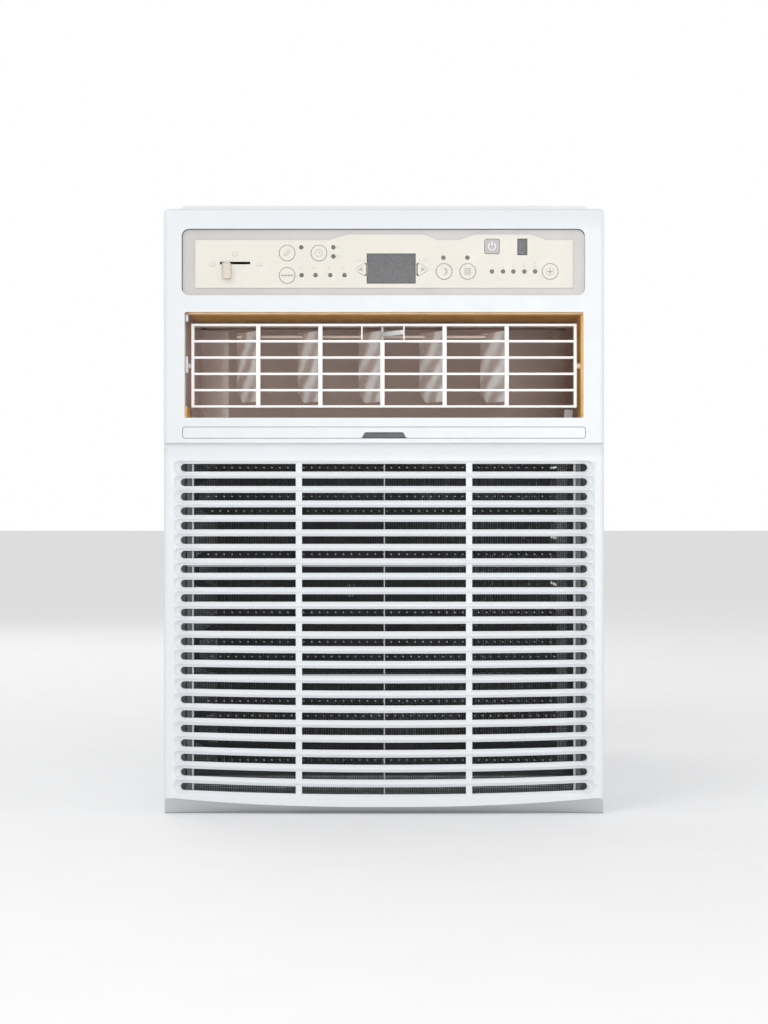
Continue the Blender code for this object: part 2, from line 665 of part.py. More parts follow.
def tie_bar():
    """A thin strip that links the rear of all five vanes."""
    back = TIE_RADIUS * math.cos(VANE_TURN)
    shift = TIE_RADIUS * math.sin(VANE_TURN)
    y = VANE_AXIS_Y + back
    hooks = [RIB_FIRST_X + k * RIB_PITCH - shift for k in range(5)]
    holes = [circle((x, y), 0.0011, 8) for x in hooks]
    outline = rectangle(hooks[0] - 0.0030, hooks[-1] + 0.0030, y - 0.0020, y + 0.0020)
    keep(plate("vane_tie_bar", [outline, *holes], "XY", TIE_Z - 0.0012, TIE_Z + 0.0012), CREAM_PLASTIC)


def vane_handle():
    """The finger lever on the middle vane, out through the window in the louver frame."""
    x = RIB_FIRST_X + 2 * RIB_PITCH
    handle = block("vane_handle", (-0.00125, -0.0315, 0.4030), (0.00125, -0.0018, 0.4068),
                   lambda a, b, c: b == -1, 0.0008, 2)
    centre = handle.location.copy()
    handle.rotation_euler.z = VANE_TURN
    handle.location = (x - centre.y * math.sin(VANE_TURN),
                       VANE_AXIS_Y + centre.y * math.cos(VANE_TURN), centre.z)
    keep(handle, WHITE_PLASTIC)


# ---- steel cabinet ----
def cabinet():
    keep(cut(block("base_pan", (-CABINET_HALF + SHEET + GAP, CABINET_FRONT + 0.002, 0),
                   (CABINET_HALF - SHEET - GAP, BACK - 0.0020, PAN_WALL)),
             tool(block("pan_hollow", (-CABINET_HALF + 0.003, CABINET_FRONT + 0.0035, PAN_FLOOR),
                        (CABINET_HALF - 0.003, BACK - 0.0035, 0.1)))), PAINTED_STEEL)

    def top_edges(x, y, z):
        return x != 0 and z == 1

    wrap = block("cabinet_wrap", (-CABINET_HALF, CABINET_FRONT, 0.003), (CABINET_HALF, BACK, HEIGHT),
                 top_edges, 0.006, 3)
    inner = CABINET_HALF - SHEET
    hollow = block("wrap_hollow", (-inner, CABINET_FRONT + SHEET, -0.01), (inner, BACK + 0.01, HEIGHT - SHEET),
                   top_edges, 0.0048, 3)
    mouth = block("wrap_mouth", (-0.1710, CABINET_FRONT - 0.01, -0.01), (0.1710, CABINET_FRONT + 0.01, 0.5040))
    louvres = [rectangle(0.1000, 0.2300, z, z + 0.007) for z in (0.150 + 0.024 * row for row in range(12))]
    side_slots = plate("side_slots", louvres, "YZ", -WIDTH, WIDTH)
    top_louvres = []
    for column in range(2):
        for row in range(6):
            x = -0.135 + 0.150 * column
            y = 0.100 + 0.026 * row
            top_louvres.append(rectangle(x, x + 0.120, y, y + 0.007))
    top_slots = plate("top_slots", top_louvres, "XY", HEIGHT - 0.02, HEIGHT + 0.02)
    gland_hole = rod("gland_hole", (CABINET_HALF - 0.02, -0.205, 0.0550), "X", 0.04, 0.0088, 16)
    keep(cut(wrap, tool(hollow), tool(mouth), tool(side_slots), tool(top_slots), tool(gland_hole)),
         PAINTED_STEEL)

    gland = [(0.0115, 0.0025), (0.0115, 0.0003), (0.0084, 0.0003), (0.0084, -0.0050),
             (0.0045, -0.0050), (0.0045, 0.0025)]
    keep(turned("cord_gland", gland, (CABINET_HALF, -0.205, 0.0550), "X", 16, closed=True), RUBBER)

    holes = []
    for column in range(3):
        for row in range(15):
            x = -0.1620 + 0.1100 * column
            z = 0.035 + 0.0310 * row
            holes.append(rectangle(x, x + 0.1040, z, z + 0.0200))
    side, top, corner = inner - GAP, HEIGHT - SHEET - GAP, 0.0050
    outline = [(-side, 0.003), (side, 0.003), (side, top - corner), (side - corner, top),
               (corner - side, top), (-side, top - corner)]
    keep(plate("rear_guard", [outline, *holes], "XZ", BACK - 0.0017, BACK - 0.0005), PAINTED_STEEL)


def bulkhead():
    """The wall between the room side and the outdoor side, with its vent and shaft holes."""
    inner = CABINET_HALF - SHEET - GAP
    outline = [(-inner + 0.002, PAN_FLOOR + GAP), (0.1440, PAN_FLOOR + GAP), (0.1440, 0.3050), (inner, 0.3050),
               (inner, 0.5120), (-inner + 0.002, 0.5120)]
    holes = [rectangle(-0.1480, -0.1340, 0.4460, 0.4800), circle((SHAFT_X, SHAFT_Z), 0.0120, 12)]
    keep(plate("bulkhead", [outline, *holes], "XZ", BULKHEAD_FRONT, BULKHEAD_FRONT + 0.0020), GALVANISED)


# ---- refrigeration ----
def serpentine(y, first_z, pitch, passes, half, end_x, steps=3):
    """The path of a tube that runs to and fro across a coil, with both ends on the right."""
    path = [(end_x, y, first_z)]
    for number in range(passes - 1):
        side = -1 if number % 2 == 0 else 1
        z = first_z + pitch * number
        for step in range(steps + 1):
            angle = math.pi * step / steps
            path.append((side * (half + pitch / 2 * math.sin(angle)), y, z + pitch / 2 * (1 - math.cos(angle))))
    path.append((end_x, y, first_z + pitch * (passes - 1)))
    return path


def coil(name, y, thick, low, high, first_z, pitch, passes):
    """A block of fins with one tube threaded through it."""
    half = 0.145
    fins = block(name + "_fins", (-half, y - thick / 2, low), (half, y + thick / 2, high))
    for number in range(passes):
        bore = rod(f"{name}_bore_{number}", (-half - 0.01, y, first_z + pitch * number), "X", 2 * half + 0.02,
                   TUBE + 0.0006, 8)
        cut(fins, tool(bore))
    keep(fins, FIN_ALUMINIUM)
    path = serpentine(y, first_z, pitch, passes, half + 0.004, 0.1580)
    keep(tube(name + "_tube", path, TUBE), COPPER)
    return path[0], path[-1]


def refrigeration():
    cold_low, cold_high = coil("evaporator", EVAPORATOR_Y, 0.022, 0.0360, 0.3020, 0.0500, 0.0340, 8)
    hot_low, hot_high = coil("condenser", CONDENSER_Y, 0.022, 0.0060, 0.4960, 0.0300, 0.0400, 12)

    x, y = COMPRESSOR
    profile = [(0, COMPRESSOR_TOP), (0.010, COMPRESSOR_TOP), (0.030, 0.2310), (0.045, 0.2220), (0.0500, 0.2120),
               (0.0500, 0.1400), (COMPRESSOR_RADIUS, 0.1380), (COMPRESSOR_RADIUS, 0.0500), (0.0480, 0.0300),
               (0.0300, 0.0180), (0, 0.0140)]
    compressor = turned("compressor", profile, (x, y, 0), "Z", 20)
    angles = [math.radians(a) for a in (45, 165, 285)]
    feet = [(x + 0.062 * math.cos(a), y + 0.062 * math.sin(a)) for a in angles]
    foot = plate("compressor_foot", [rounded_corners([(x + 0.095 * math.cos(a), y + 0.095 * math.sin(a))
                                                      for a in angles], 0.016, 4)], "XY", 0.0150, 0.0175)
    join(compressor, tool(foot))
    keep(compressor, BLACK_STEEL)
    for number, (foot_x, foot_y) in enumerate(feet):
        grommet = [(0.0080, 0.0147), (0.0085, 0.0120), (0.0070, 0.0085), (0.0090, 0.0050), (0.0090, 0.0018),
                   (0.0030, 0.0018), (0.0030, 0.0147)]
        ring = turned(f"compressor_grommet_{number + 1}", grommet, (foot_x, foot_y, 0), "Z", 12, closed=True)
        keep(ring, RUBBER)
    cover = block("terminal_cover", (x - 0.070, y - 0.016, 0.1450), (x - 0.020, y + 0.016, 0.2000),
                  lambda a, b, c: a == -1, 0.003, 2)
    keep(cut(cover, tool(rod("cover_fit", (x, y, 0.10), "Z", 0.2, COMPRESSOR_RADIUS + GAP, 20))), DARK_PLASTIC)

    a_x, a_y = ACCUMULATOR
    top = ACCUMULATOR_TOP
    can = [(0, top), (0.0060, top), (0.0140, top - 0.006), (0.0160, top - 0.012), (0.0160, 0.0720),
           (0.0140, 0.0660), (0, 0.0620)]
    keep(turned("accumulator", can, (a_x, a_y, 0), "Z", 16), BLACK_STEEL)

    lane = 0.1655
    suction = [(cold_high[0] + GAP, cold_high[1], cold_high[2]), (lane, cold_high[1], cold_high[2]),
               (lane, a_y, cold_high[2]), (a_x, a_y, cold_high[2]), (a_x, a_y, top + GAP)]
    keep(tube("suction_line", fillet(suction, 0.007), 0.0040), COPPER)
    discharge_path = [(x, y, COMPRESSOR_TOP + GAP), (x, y, 0.330), (x + 0.030, y, 0.330),
                      (x + 0.030, y, hot_high[2]),
                      (lane, y, hot_high[2]), (lane, CONDENSER_Y, hot_high[2]),
                      (hot_high[0] + GAP, CONDENSER_Y, hot_high[2])]
    keep(tube("discharge_line", fillet(discharge_path, 0.007), 0.0032), COPPER)
    keep(tube("capillary_tube", capillary_path(hot_low, cold_low), 0.0014, 1), COPPER)


def capillary_path(hot_low, cold_low):
    """From the condenser's outlet forward to the evaporator's inlet, with two turns in the middle."""
    lane = 0.1680
    turns, radius, rise = 2, 0.014, 0.005
    centre_y, centre_z = -0.040, 0.056
    start, corner = (hot_low[0] + GAP, hot_low[1], hot_low[2]), (lane - 0.002, hot_low[1], hot_low[2])
    path = fillet([start, corner, (lane - 0.002, 0.200, centre_z - radius),
                   (lane - 0.002, centre_y, centre_z - radius)], 0.005, 3)
    for step in range(1, 12 * turns + 1):
        angle = 2 * math.pi * step / 12
        path.append((lane - 0.002 - rise * step / 12, centre_y - radius * math.sin(angle),
                     centre_z - radius * math.cos(angle)))
    inner = lane - 0.002 - rise * turns
    path += fillet([(inner, centre_y - 0.006, centre_z - radius), (inner, centre_y - 0.100, centre_z - radius),
                    (lane, centre_y - 0.140, cold_low[2]), (lane, cold_low[1], cold_low[2]),
                    (cold_low[0] + GAP, cold_low[1], cold_low[2])], 0.005, 3)
    return path


# ---- air movers ----
def scroll_outline(offset, top):
    """A spiral that opens upwards on its left side, grown outwards by `offset`."""
    steps = 20
    points = []
    for step in range(steps + 1):
        share = step / steps
        angle = math.radians(50 - 230 * share)
        radius = 0.090 + 0.032 * share + offset
        points.append((SHAFT_X + radius * math.cos(angle), SHAFT_Z + radius * math.sin(angle)))
    return points + [(points[-1][0], top), (points[0][0], top)]


def air_movers():
    wall = 0.0025
    top = OPENING_LOW - DUCT_WALL - GAP
    front, rear = -0.2050, -0.1045
    scroll = plate("blower_scroll", [scroll_outline(wall, top)], "XZ", front, rear)
    hollow = plate("scroll_hollow", [scroll_outline(0, top + 0.02)], "XZ", front + wall, rear - wall)
    inlet = rod("scroll_inlet", (SHAFT_X, front - 0.01, SHAFT_Z), "Y", 0.03, 0.070, 24)
    shaft_hole = rod("scroll_shaft_hole", (SHAFT_X, rear - 0.01, SHAFT_Z), "Y", 0.03, 0.0120, 12)
    keep(cut(scroll, tool(hollow), tool(inlet), tool(shaft_hole)), FOAM)

    bore = SHAFT_RADIUS + GAP
    wheel_rear = rear - wall - 0.003
    wheel_front = front + wall + 0.003
    length = wheel_rear - wheel_front
    cup = [(bore, length), (0.0820, length), (0.0820, 0), (0.0700, 0), (0.0680, length - 0.0030),
           (0.014, length - 0.0035), (0.014, length - 0.060), (bore, length - 0.060)]
    wheel = turned("blower_wheel", cup, (SHAFT_X, wheel_front, SHAFT_Z), "Y", 24, closed=True)
    blade_count = 16
    gap_height = 0.078
    gaps = bmesh.new()
    for number in range(blade_count):
        made = bmesh.ops.create_cube(gaps, size=1.0)
        turn = Matrix.Rotation(2 * math.pi * number / blade_count, 3, 'Z')
        bmesh.ops.scale(gaps, vec=(0.030, 0.0150, gap_height), verts=made["verts"])
        bmesh.ops.translate(gaps, vec=(0.076, 0, length - 0.0075 - gap_height / 2), verts=made["verts"])
        bmesh.ops.rotate(gaps, cent=(0, 0, 0), matrix=turn, verts=made["verts"])
    blades = tool(mesh_object("wheel_gaps", gaps, wheel.location))
    blades.rotation_euler = TURN_TO_AXIS["Y"]
    keep(cut(wheel, blades), FAN_PLASTIC)

    keep(rod("motor_shaft", (SHAFT_X, -0.1990, SHAFT_Z), "Y", 0.3980, SHAFT_RADIUS, 12), BRIGHT_STEEL)
    motor = [(0.0075, 0.100), (0.0180, 0.100), (0.0220, 0.0920), (0.0480, 0.0860), (0.0500, 0.0780),
             (0.0500, 0.0220), (0.0480, 0.0140), (0.0220, 0.0080), (0.0180, 0), (0.0075, 0)]
    keep(turned("fan_motor", motor, (SHAFT_X, -0.0900, SHAFT_Z), "Y", 20, closed=True), BLACK_STEEL)

    bracket = plate("motor_bracket", [[(-0.1000, PAN_FLOOR + GAP), (0.0400, PAN_FLOOR + GAP), (0.0250, SHAFT_Z),
                                       (-0.0850, SHAFT_Z)]], "XZ", -0.0500, -0.0470)
    saddle = rod("bracket_saddle", (SHAFT_X, -0.1, SHAFT_Z), "Y", 0.2, 0.0507, 20)
    flange = block("bracket_flange", (-0.0980, -0.0480, PAN_FLOOR + GAP), (0.0380, -0.0150, 0.0045))
    keep(join(cut(bracket, tool(saddle)), tool(flange)), GALVANISED)

    condenser_fan()
    inner = CABINET_HALF - SHEET - GAP - 0.002
    low, high, notch = PAN_FLOOR + GAP, 0.5120, 0.1600
    edge = [(-inner, low), (inner, low), (inner, 0.025), (notch, 0.025), (notch, 0.050), (inner, 0.050),
            (inner, 0.460), (notch, 0.460), (notch, 0.480), (inner, 0.480), (inner, high), (-inner, high)]
    shroud = plate("fan_shroud", [edge, circle((SHAFT_X, SHAFT_Z), 0.1300, 24)], "XZ", 0.2085, 0.2110)
    ring = [(0.1325, 0.0440), (0.1325, 0), (0.1300, 0), (0.1300, 0.0440)]
    collar = turned("shroud_ring", ring, (SHAFT_X, 0.1660, SHAFT_Z), "Y", 24, closed=True)
    keep(join(shroud, tool(collar)), FOAM)


def condenser_fan():
    """Five pitched blades between a hub and a slinger ring."""
    start, depth = 0.1720, 0.0250
    hub = [(0.0200, depth), (0.0220, 0), (SHAFT_RADIUS + GAP, 0), (SHAFT_RADIUS + GAP, depth)]
    fan = turned("condenser_fan", hub, (SHAFT_X, start, SHAFT_Z), "Y", 20, closed=True)
    ring = [(0.1240, depth), (0.1240, 0.0100), (0.1200, 0.0100), (0.1200, depth)]
    join(fan, tool(turned("slinger_ring", ring, (SHAFT_X, start, SHAFT_Z), "Y", 25, closed=True)))
    blades = bmesh.new()
    for number in range(5):
        made = bmesh.ops.create_grid(blades, x_segments=4, y_segments=2, size=0.5)["verts"]
        faces = list({face for vert in made for face in vert.link_faces})
        for vert in made:
            reach = 0.0190 + 0.1030 * (vert.co.x + 0.5)
            across = 0.075 * vert.co.y * (0.45 + 0.75 * reach / 0.12)
            pitch = math.radians(48 - 26 * reach / 0.12)
            swing = math.radians(72 * number) + across * math.cos(pitch) / max(reach, 0.04)
            radius = reach
            height = depth / 2 + 0.004 + across * math.sin(pitch) * 0.45
            vert.co = (radius * math.cos(swing), radius * math.sin(swing), height)
        bmesh.ops.solidify(blades, geom=faces, thickness=0.0022)
    bmesh.ops.recalc_face_normals(blades, faces=blades.faces)
    blade_set = tool(mesh_object("fan_blades", blades, fan.location))
    blade_set.rotation_euler = TURN_TO_AXIS["Y"]
    keep(join(fan, blade_set), FAN_PLASTIC)


def condensate_tray():
    tray = block("condensate_tray", (-0.1600, EVAPORATOR_Y - 0.0100, PAN_FLOOR + GAP),
                 (0.1560, -0.2080, 0.0320))
    hollow = block("tray_hollow", (-0.1580, EVAPORATOR_Y - 0.0080, 0.0200), (0.1540, -0.2100, 0.1))
    keep(cut(tray, tool(hollow)), FOAM)


front_panel()
filter_set()
control_panel()
vent_control()
discharge()
cabinet()
bulkhead()
condensate_tray()
refrigeration()
air_movers()
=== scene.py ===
"""The finished look of a casement window air conditioner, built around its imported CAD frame."""
import math

import bmesh
import bpy
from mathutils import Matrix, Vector


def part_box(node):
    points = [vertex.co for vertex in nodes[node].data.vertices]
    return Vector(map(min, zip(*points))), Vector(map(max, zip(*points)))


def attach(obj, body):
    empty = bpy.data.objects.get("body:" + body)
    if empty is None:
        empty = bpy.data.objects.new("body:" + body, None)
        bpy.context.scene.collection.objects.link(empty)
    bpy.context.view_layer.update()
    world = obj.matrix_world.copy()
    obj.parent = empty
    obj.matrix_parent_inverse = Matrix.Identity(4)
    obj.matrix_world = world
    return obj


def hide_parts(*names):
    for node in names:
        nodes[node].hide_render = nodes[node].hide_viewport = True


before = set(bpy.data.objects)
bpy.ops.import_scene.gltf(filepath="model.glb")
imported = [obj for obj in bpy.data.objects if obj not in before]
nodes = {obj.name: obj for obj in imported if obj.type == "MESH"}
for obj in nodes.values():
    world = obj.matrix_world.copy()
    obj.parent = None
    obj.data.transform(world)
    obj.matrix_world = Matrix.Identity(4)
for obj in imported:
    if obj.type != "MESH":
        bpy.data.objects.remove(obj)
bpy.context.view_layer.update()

# ---- Studio ----
# The unit stands on a plain white floor in front of a straight-on camera, which looks at the middle
# of a tall frame. One large soft light hangs high on the left, with weaker ones in front and right.
def add_object(name, data):
    """An object with this data, in the scene."""
    obj = bpy.data.objects.new(name, data)
    bpy.context.scene.collection.objects.link(obj)
    return obj


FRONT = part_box("upper_fascia")[0][1]
camera = add_object("camera", bpy.data.cameras.new("camera"))
camera_height = 0.254
camera_distance = 2.0
view_height = 0.859
camera.data.sensor_width = 36
camera.data.lens = camera.data.sensor_width * camera_distance / view_height
camera.location = (0, FRONT - camera_distance, camera_height)
camera.rotation_euler = (math.pi / 2, 0, 0)
bpy.context.scene.camera = camera


def soft_light(name, place, target, width, height, power):
    """A rectangular area light that faces a point on the object."""
    data = bpy.data.lights.new(name, 'AREA')
    data.shape = 'RECTANGLE'
    data.size = width
    data.size_y = height
    data.energy = power
    light = add_object(name, data)
    light.location = place
    light.rotation_euler = (Vector(target) - Vector(place)).to_track_quat('-Z', 'Y').to_euler()


soft_light("key_light", (-1.0, -1.9, 2.1), (0, -0.1, 0.25), 1.2, 1.2, 12)
soft_light("front_light", (0.35, -2.9, 0.45), (0, -0.3, 0.30), 1.0, 0.7, 17)
soft_light("right_light", (2.0, -0.3, 1.2), (0, 0, 0.25), 1.4, 1.6, 5)
soft_light("rear_light", (-1.2, 2.2, 1.6), (0, 0.2, 0.25), 1.6, 1.4, 9)

world = bpy.data.worlds.new("studio")
world.use_nodes = True
sky = world.node_tree
direction = sky.nodes.new("ShaderNodeTexCoord")
split = sky.nodes.new("ShaderNodeSeparateXYZ")
fall = sky.nodes.new("ShaderNodeValToRGB")
fall.color_ramp.elements[0].position = 0.25
fall.color_ramp.elements[0].color = (1, 1, 1, 1)
fall.color_ramp.elements[1].position = 0.85
fall.color_ramp.elements[1].color = (0.66, 0.66, 0.67, 1)
sky.links.new(direction.outputs["Generated"], split.inputs["Vector"])
sky.links.new(split.outputs["Z"], fall.inputs["Fac"])
sky.links.new(fall.outputs["Color"], sky.nodes["Background"].inputs["Color"])
sky.nodes["Background"].inputs["Strength"].default_value = 1.0
bpy.context.scene.world = world
bpy.context.scene.view_settings.view_transform = 'Standard'


# ---- Floor ----
# A wide sheet of matt white paper, only there to stand the unit on. It isn't part of the object.
def new_material(name):
    """A material with an empty Principled shader, and its node tree."""
    material = bpy.data.materials.new(name)
    material.use_nodes = True
    return material, material.node_tree, material.node_tree.nodes["Principled BSDF"]


def noise(tree, scale, detail=3.0, stretch=(1, 1, 1)):
    """A noise value on the piece's own coordinates, in lumps of about 1 / scale metres."""
    coordinates = tree.nodes.new("ShaderNodeTexCoord")
    mapping = tree.nodes.new("ShaderNodeMapping")
    mapping.inputs["Scale"].default_value = stretch
    texture = tree.nodes.new("ShaderNodeTexNoise")
    texture.inputs["Scale"].default_value = scale
    texture.inputs["Detail"].default_value = detail
    tree.links.new(coordinates.outputs["Object"], mapping.inputs["Vector"])
    tree.links.new(mapping.outputs["Vector"], texture.inputs["Vector"])
    return texture.outputs["Fac"]


def blend_colours(tree, factor, first, second, low=0.35, high=0.65):
    """A colour between two, as the factor goes from low to high."""
    ramp = tree.nodes.new("ShaderNodeValToRGB")
    ramp.color_ramp.elements[0].position = low
    ramp.color_ramp.elements[0].color = (*first, 1)
    ramp.color_ramp.elements[1].position = high
    ramp.color_ramp.elements[1].color = (*second, 1)
    tree.links.new(factor, ramp.inputs["Fac"])
    return ramp.outputs["Color"]


def spread(tree, factor, low, high):
    """A value between low and high that follows the factor."""
    remap = tree.nodes.new("ShaderNodeMapRange")
    remap.inputs["From Min"].default_value = 0.3
    remap.inputs["From Max"].default_value = 0.7
    remap.inputs["To Min"].default_value = low
    remap.inputs["To Max"].default_value = high
    tree.links.new(factor, remap.inputs["Value"])
    return remap.outputs["Result"]


def bump(tree, shader, height, depth):
    """Raise and sink the surface by up to a depth in metres."""
    node = tree.nodes.new("ShaderNodeBump")
    node.inputs["Strength"].default_value = 1.0
    node.inputs["Distance"].default_value = depth
    tree.links.new(height, node.inputs["Height"])
    tree.links.new(node.outputs["Normal"], shader.inputs["Normal"])


def moulded(name, colour, shade, roughness, grain=2600, depth=0.00002, metallic=0.0):
    """A moulded or coated surface: faint clouds of shade, uneven gloss and a fine grain."""
    material, tree, shader = new_material(name)
    clouds = noise(tree, 14, 4)
    tree.links.new(blend_colours(tree, clouds, colour, shade), shader.inputs["Base Color"])
    tree.links.new(spread(tree, noise(tree, 60, 2), roughness - 0.05, roughness + 0.05),
                   shader.inputs["Roughness"])
    bump(tree, shader, noise(tree, grain, 2), depth)
    shader.inputs["Metallic"].default_value = metallic
    return material


def mesh_object(name, bm):
    """What a bmesh holds, as an object in the scene. The bmesh is freed."""
    mesh = bpy.data.meshes.new(name)
    bm.to_mesh(mesh)
    bm.free()
    return add_object(name, mesh)


paper = moulded("floor_paper", (0.915, 0.915, 0.915), (0.905, 0.905, 0.905), 0.8, 400, 0.00002)
floor_bm = bmesh.new()
bmesh.ops.create_grid(floor_bm, x_segments=4, y_segments=4, size=30.0)
floor = mesh_object("floor", floor_bm)
floor.data.materials.append(paper)


# ---- Upper fascia ----
# The white front around the controls and the air outlet, one injection moulding in satin ABS. It
# stands a little proud of the grille below, and its top leans back. Screws behind the filter hold it.
white = moulded("white_abs", (0.658, 0.682, 0.702), (0.645, 0.669, 0.689), 0.38)
white_shader = white.node_tree.nodes["Principled BSDF"]
white_shader.inputs["Coat Weight"].default_value = 0.15
white_shader.inputs["Coat Roughness"].default_value = 0.25

EDGE_ROUND = 0.0032
TOP_ROUND = 0.0042
CROWN_ROUND = 0.0034
LEAN = 0.0022
PANEL_WALL = 0.0030
GAP = 0.0003
RIM = 0.0020
RIM_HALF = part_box("cabinet_wrap")[1][0] + 0.0003


def finish_piece(obj, material, body, *replaced, slot=None):
    """Give a mesh object its material, and let it ride on a body in place of CAD nodes."""
    obj.data.materials.clear()
    obj.data.materials.append(material)
    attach(obj, body)
    if replaced:
        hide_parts(*replaced)
    return obj


def stations(half, radius, steps=6, middle=24):
    """Places from side to side, close together where the edge rounds off."""
    curved = [half - radius + radius * math.sin(math.pi / 2 * k / steps) for k in range(steps + 1)]
    flat = [(half - radius) * (2 * k / middle - 1) for k in range(1, middle)]
    return [-x for x in reversed(curved)] + flat + curved


def rounding(x, half, radius):
    """How far an edge of this radius has fallen back at x."""
    over = max(0.0, abs(x) - (half - radius))
    return radius - math.sqrt(max(0.0, radius * radius - over * over))


def bridge(bm, first, second):
    """Faces between two rings with equally many points."""
    for k in range(len(first)):
        following = (k + 1) % len(first)
        bm.faces.new((first[k], first[following], second[following], second[k]))


def loft(name, sections):
    """A closed solid through a row of closed outlines with equally many points."""
    bm = bmesh.new()
    rings = [[bm.verts.new(point) for point in section] for section in sections]
    for first, second in zip(rings, rings[1:]):
        bridge(bm, first, second)
    bm.faces.new(rings[0])
    bm.faces.new(rings[-1])
    bmesh.ops.remove_doubles(bm, verts=bm.verts, dist=0.000005)
    bmesh.ops.dissolve_degenerate(bm, edges=bm.edges, dist=0.000005)
    bmesh.ops.recalc_face_normals(bm, faces=bm.faces)
    return mesh_object(name, bm)


def box_mesh(name, low, high):
    """A plain box, used only to cut with or to build on."""
    corners = [(low[0], high[0]), (low[1], high[1]), (low[2], high[2])]
    sections = [[(x, corners[1][a], corners[2][b]) for a, b in ((0, 0), (1, 0), (1, 1), (0, 1))]
                for x in corners[0]]
    return loft(name, sections)


def prism(name, outline, y_low, y_high):
    """An outline in the front plane, pulled back along Y."""
    return loft(name, [[(x, y, z) for x, z in outline] for y in (y_low, y_high)])


def panel_hole(name, outline):
    """A cutter that goes right through the front panel."""
    return prism(name, outline, FRONT - 0.01, FRONT + 0.02)


def apply_modifiers(obj):
    """Make the modified shape the object's own plain mesh, with no modifier left."""
    bpy.context.view_layer.update()
    mesh = bpy.data.meshes.new_from_object(obj.evaluated_get(bpy.context.evaluated_depsgraph_get()))
    obj.modifiers.clear()
    obj.data = mesh
    return obj


def carve(obj, *cutters, operation='DIFFERENCE'):
    """Cut pieces out of an object, or join them to it, and drop them."""
    for cutter in cutters:
        modifier = obj.modifiers.new(cutter.name, 'BOOLEAN')
        modifier.operation = operation
        modifier.solver = 'EXACT'
        modifier.object = cutter
    apply_modifiers(obj)
    for cutter in cutters:
        bpy.data.objects.remove(cutter)
    return obj


def even_shading(obj, angle=35):
    """Smooth over small edges, keep the sharp ones, and keep flat faces looking flat."""
    obj.data.shade_smooth()
    obj.data.set_sharp_from_angle(angle=math.radians(angle))
    normals = obj.modifiers.new("even_shading", 'WEIGHTED_NORMAL')
    normals.keep_sharp = True
    normals.weight = 100
    return apply_modifiers(obj)


def soften(obj, width, angle=40, segments=2):
    """Round the sharp edges by a small width, and shade the rest smooth."""
    edges = obj.modifiers.new("soften", 'BEVEL')
    edges.width = width
    edges.segments = segments
    edges.limit_method = 'ANGLE'
    edges.angle_limit = math.radians(angle)
    apply_modifiers(obj)
    return even_shading(obj)


def arc(centre, radius, start, end, steps):
    """Points on an arc, with its angles in degrees."""
    angles = [math.radians(start + (end - start) * k / steps) for k in range(steps + 1)]
    return [(centre[0] + radius * math.cos(a), centre[1] + radius * math.sin(a)) for a in angles]


def round_box(left, right, low, high, radius, steps=6):
    """The outline of a rectangle with round corners."""
    return (arc((right - radius, low + radius), radius, -90, 0, steps)
            + arc((right - radius, high - radius), radius, 0, 90, steps)
            + arc((left + radius, high - radius), radius, 90, 180, steps)
            + arc((left + radius, low + radius), radius, 180, 270, steps))


fascia_low, fascia_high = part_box("upper_fascia")
grille_top = 0.5 * (fascia_low[2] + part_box("intake_grille")[1][2])
panel_half = fascia_high[0]
panel_back = fascia_high[1]
joint_gap = 0.0001
fascia_foot = grille_top + joint_gap


def fascia_section(x):
    """The side profile at x: upright, then leaning back over the last 19 mm and round at the top."""
    back = rounding(x, panel_half, EDGE_ROUND)
    drop = rounding(x, panel_half, TOP_ROUND)
    top = fascia_high[2] - drop
    profile = [(0.0006, fascia_foot), (0, fascia_foot + 0.0006)]
    lean = [(LEAN * k * k / 36, fascia_high[2] - 0.0190 + 0.0025 * k) for k in range(7)]
    crown = arc((LEAN + CROWN_ROUND, fascia_high[2] - CROWN_ROUND), CROWN_ROUND, 180, 90, 5)
    points = [(FRONT + back + y, min(z, top)) for y, z in profile + lean + crown[1:]]
    return [(x, y, z) for y, z in points] + [(x, panel_back, top), (x, panel_back, fascia_foot)]


fascia = loft("fascia", [fascia_section(x) for x in stations(panel_half, TOP_ROUND, 7)])
inner = panel_half - PANEL_WALL
fascia_cavity = box_mesh("fascia_cavity", (-inner, FRONT + PANEL_WALL, fascia_low[2] - 0.01),
                         (inner, panel_back - RIM, fascia_high[2] - PANEL_WALL))
rim_hole = box_mesh("rim_hole", (-RIM_HALF, FRONT + PANEL_WALL + 0.01, fascia_low[2] - 0.01),
                    (RIM_HALF, panel_back + 0.01, fascia_high[2] - PANEL_WALL))
duct_low, duct_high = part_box("discharge_duct")
duct_overlap = 0.0028
opening = (duct_low[0] + duct_overlap, duct_high[0] - duct_overlap,
           duct_low[2] + duct_overlap, duct_high[2] - duct_overlap)
outlet_hole = panel_hole("outlet_hole", round_box(*opening, 0.0012, 3))
recess_low, recess_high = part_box("control_bezel")
recess_overlap = 0.0035
recess_round = 0.0063
recess = (recess_low[0] + recess_overlap, recess_high[0] - recess_overlap,
          recess_low[2] + recess_overlap, recess_high[2] - recess_overlap)
control_hole = panel_hole("control_hole", round_box(*recess, recess_round, 8))
handle_low, handle_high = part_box("filter_handle")
handle_hole = panel_hole("handle_hole", round_box(handle_low[0] - GAP, handle_high[0] + GAP,
                                                  handle_low[2] - GAP, handle_high[2] + GAP, 0.0024, 5))
carve(fascia, fascia_cavity, rim_hole, outlet_hole, control_hole, handle_hole)
soften(fascia, 0.0004, 50)
finish_piece(fascia, white, "root", "upper_fascia")


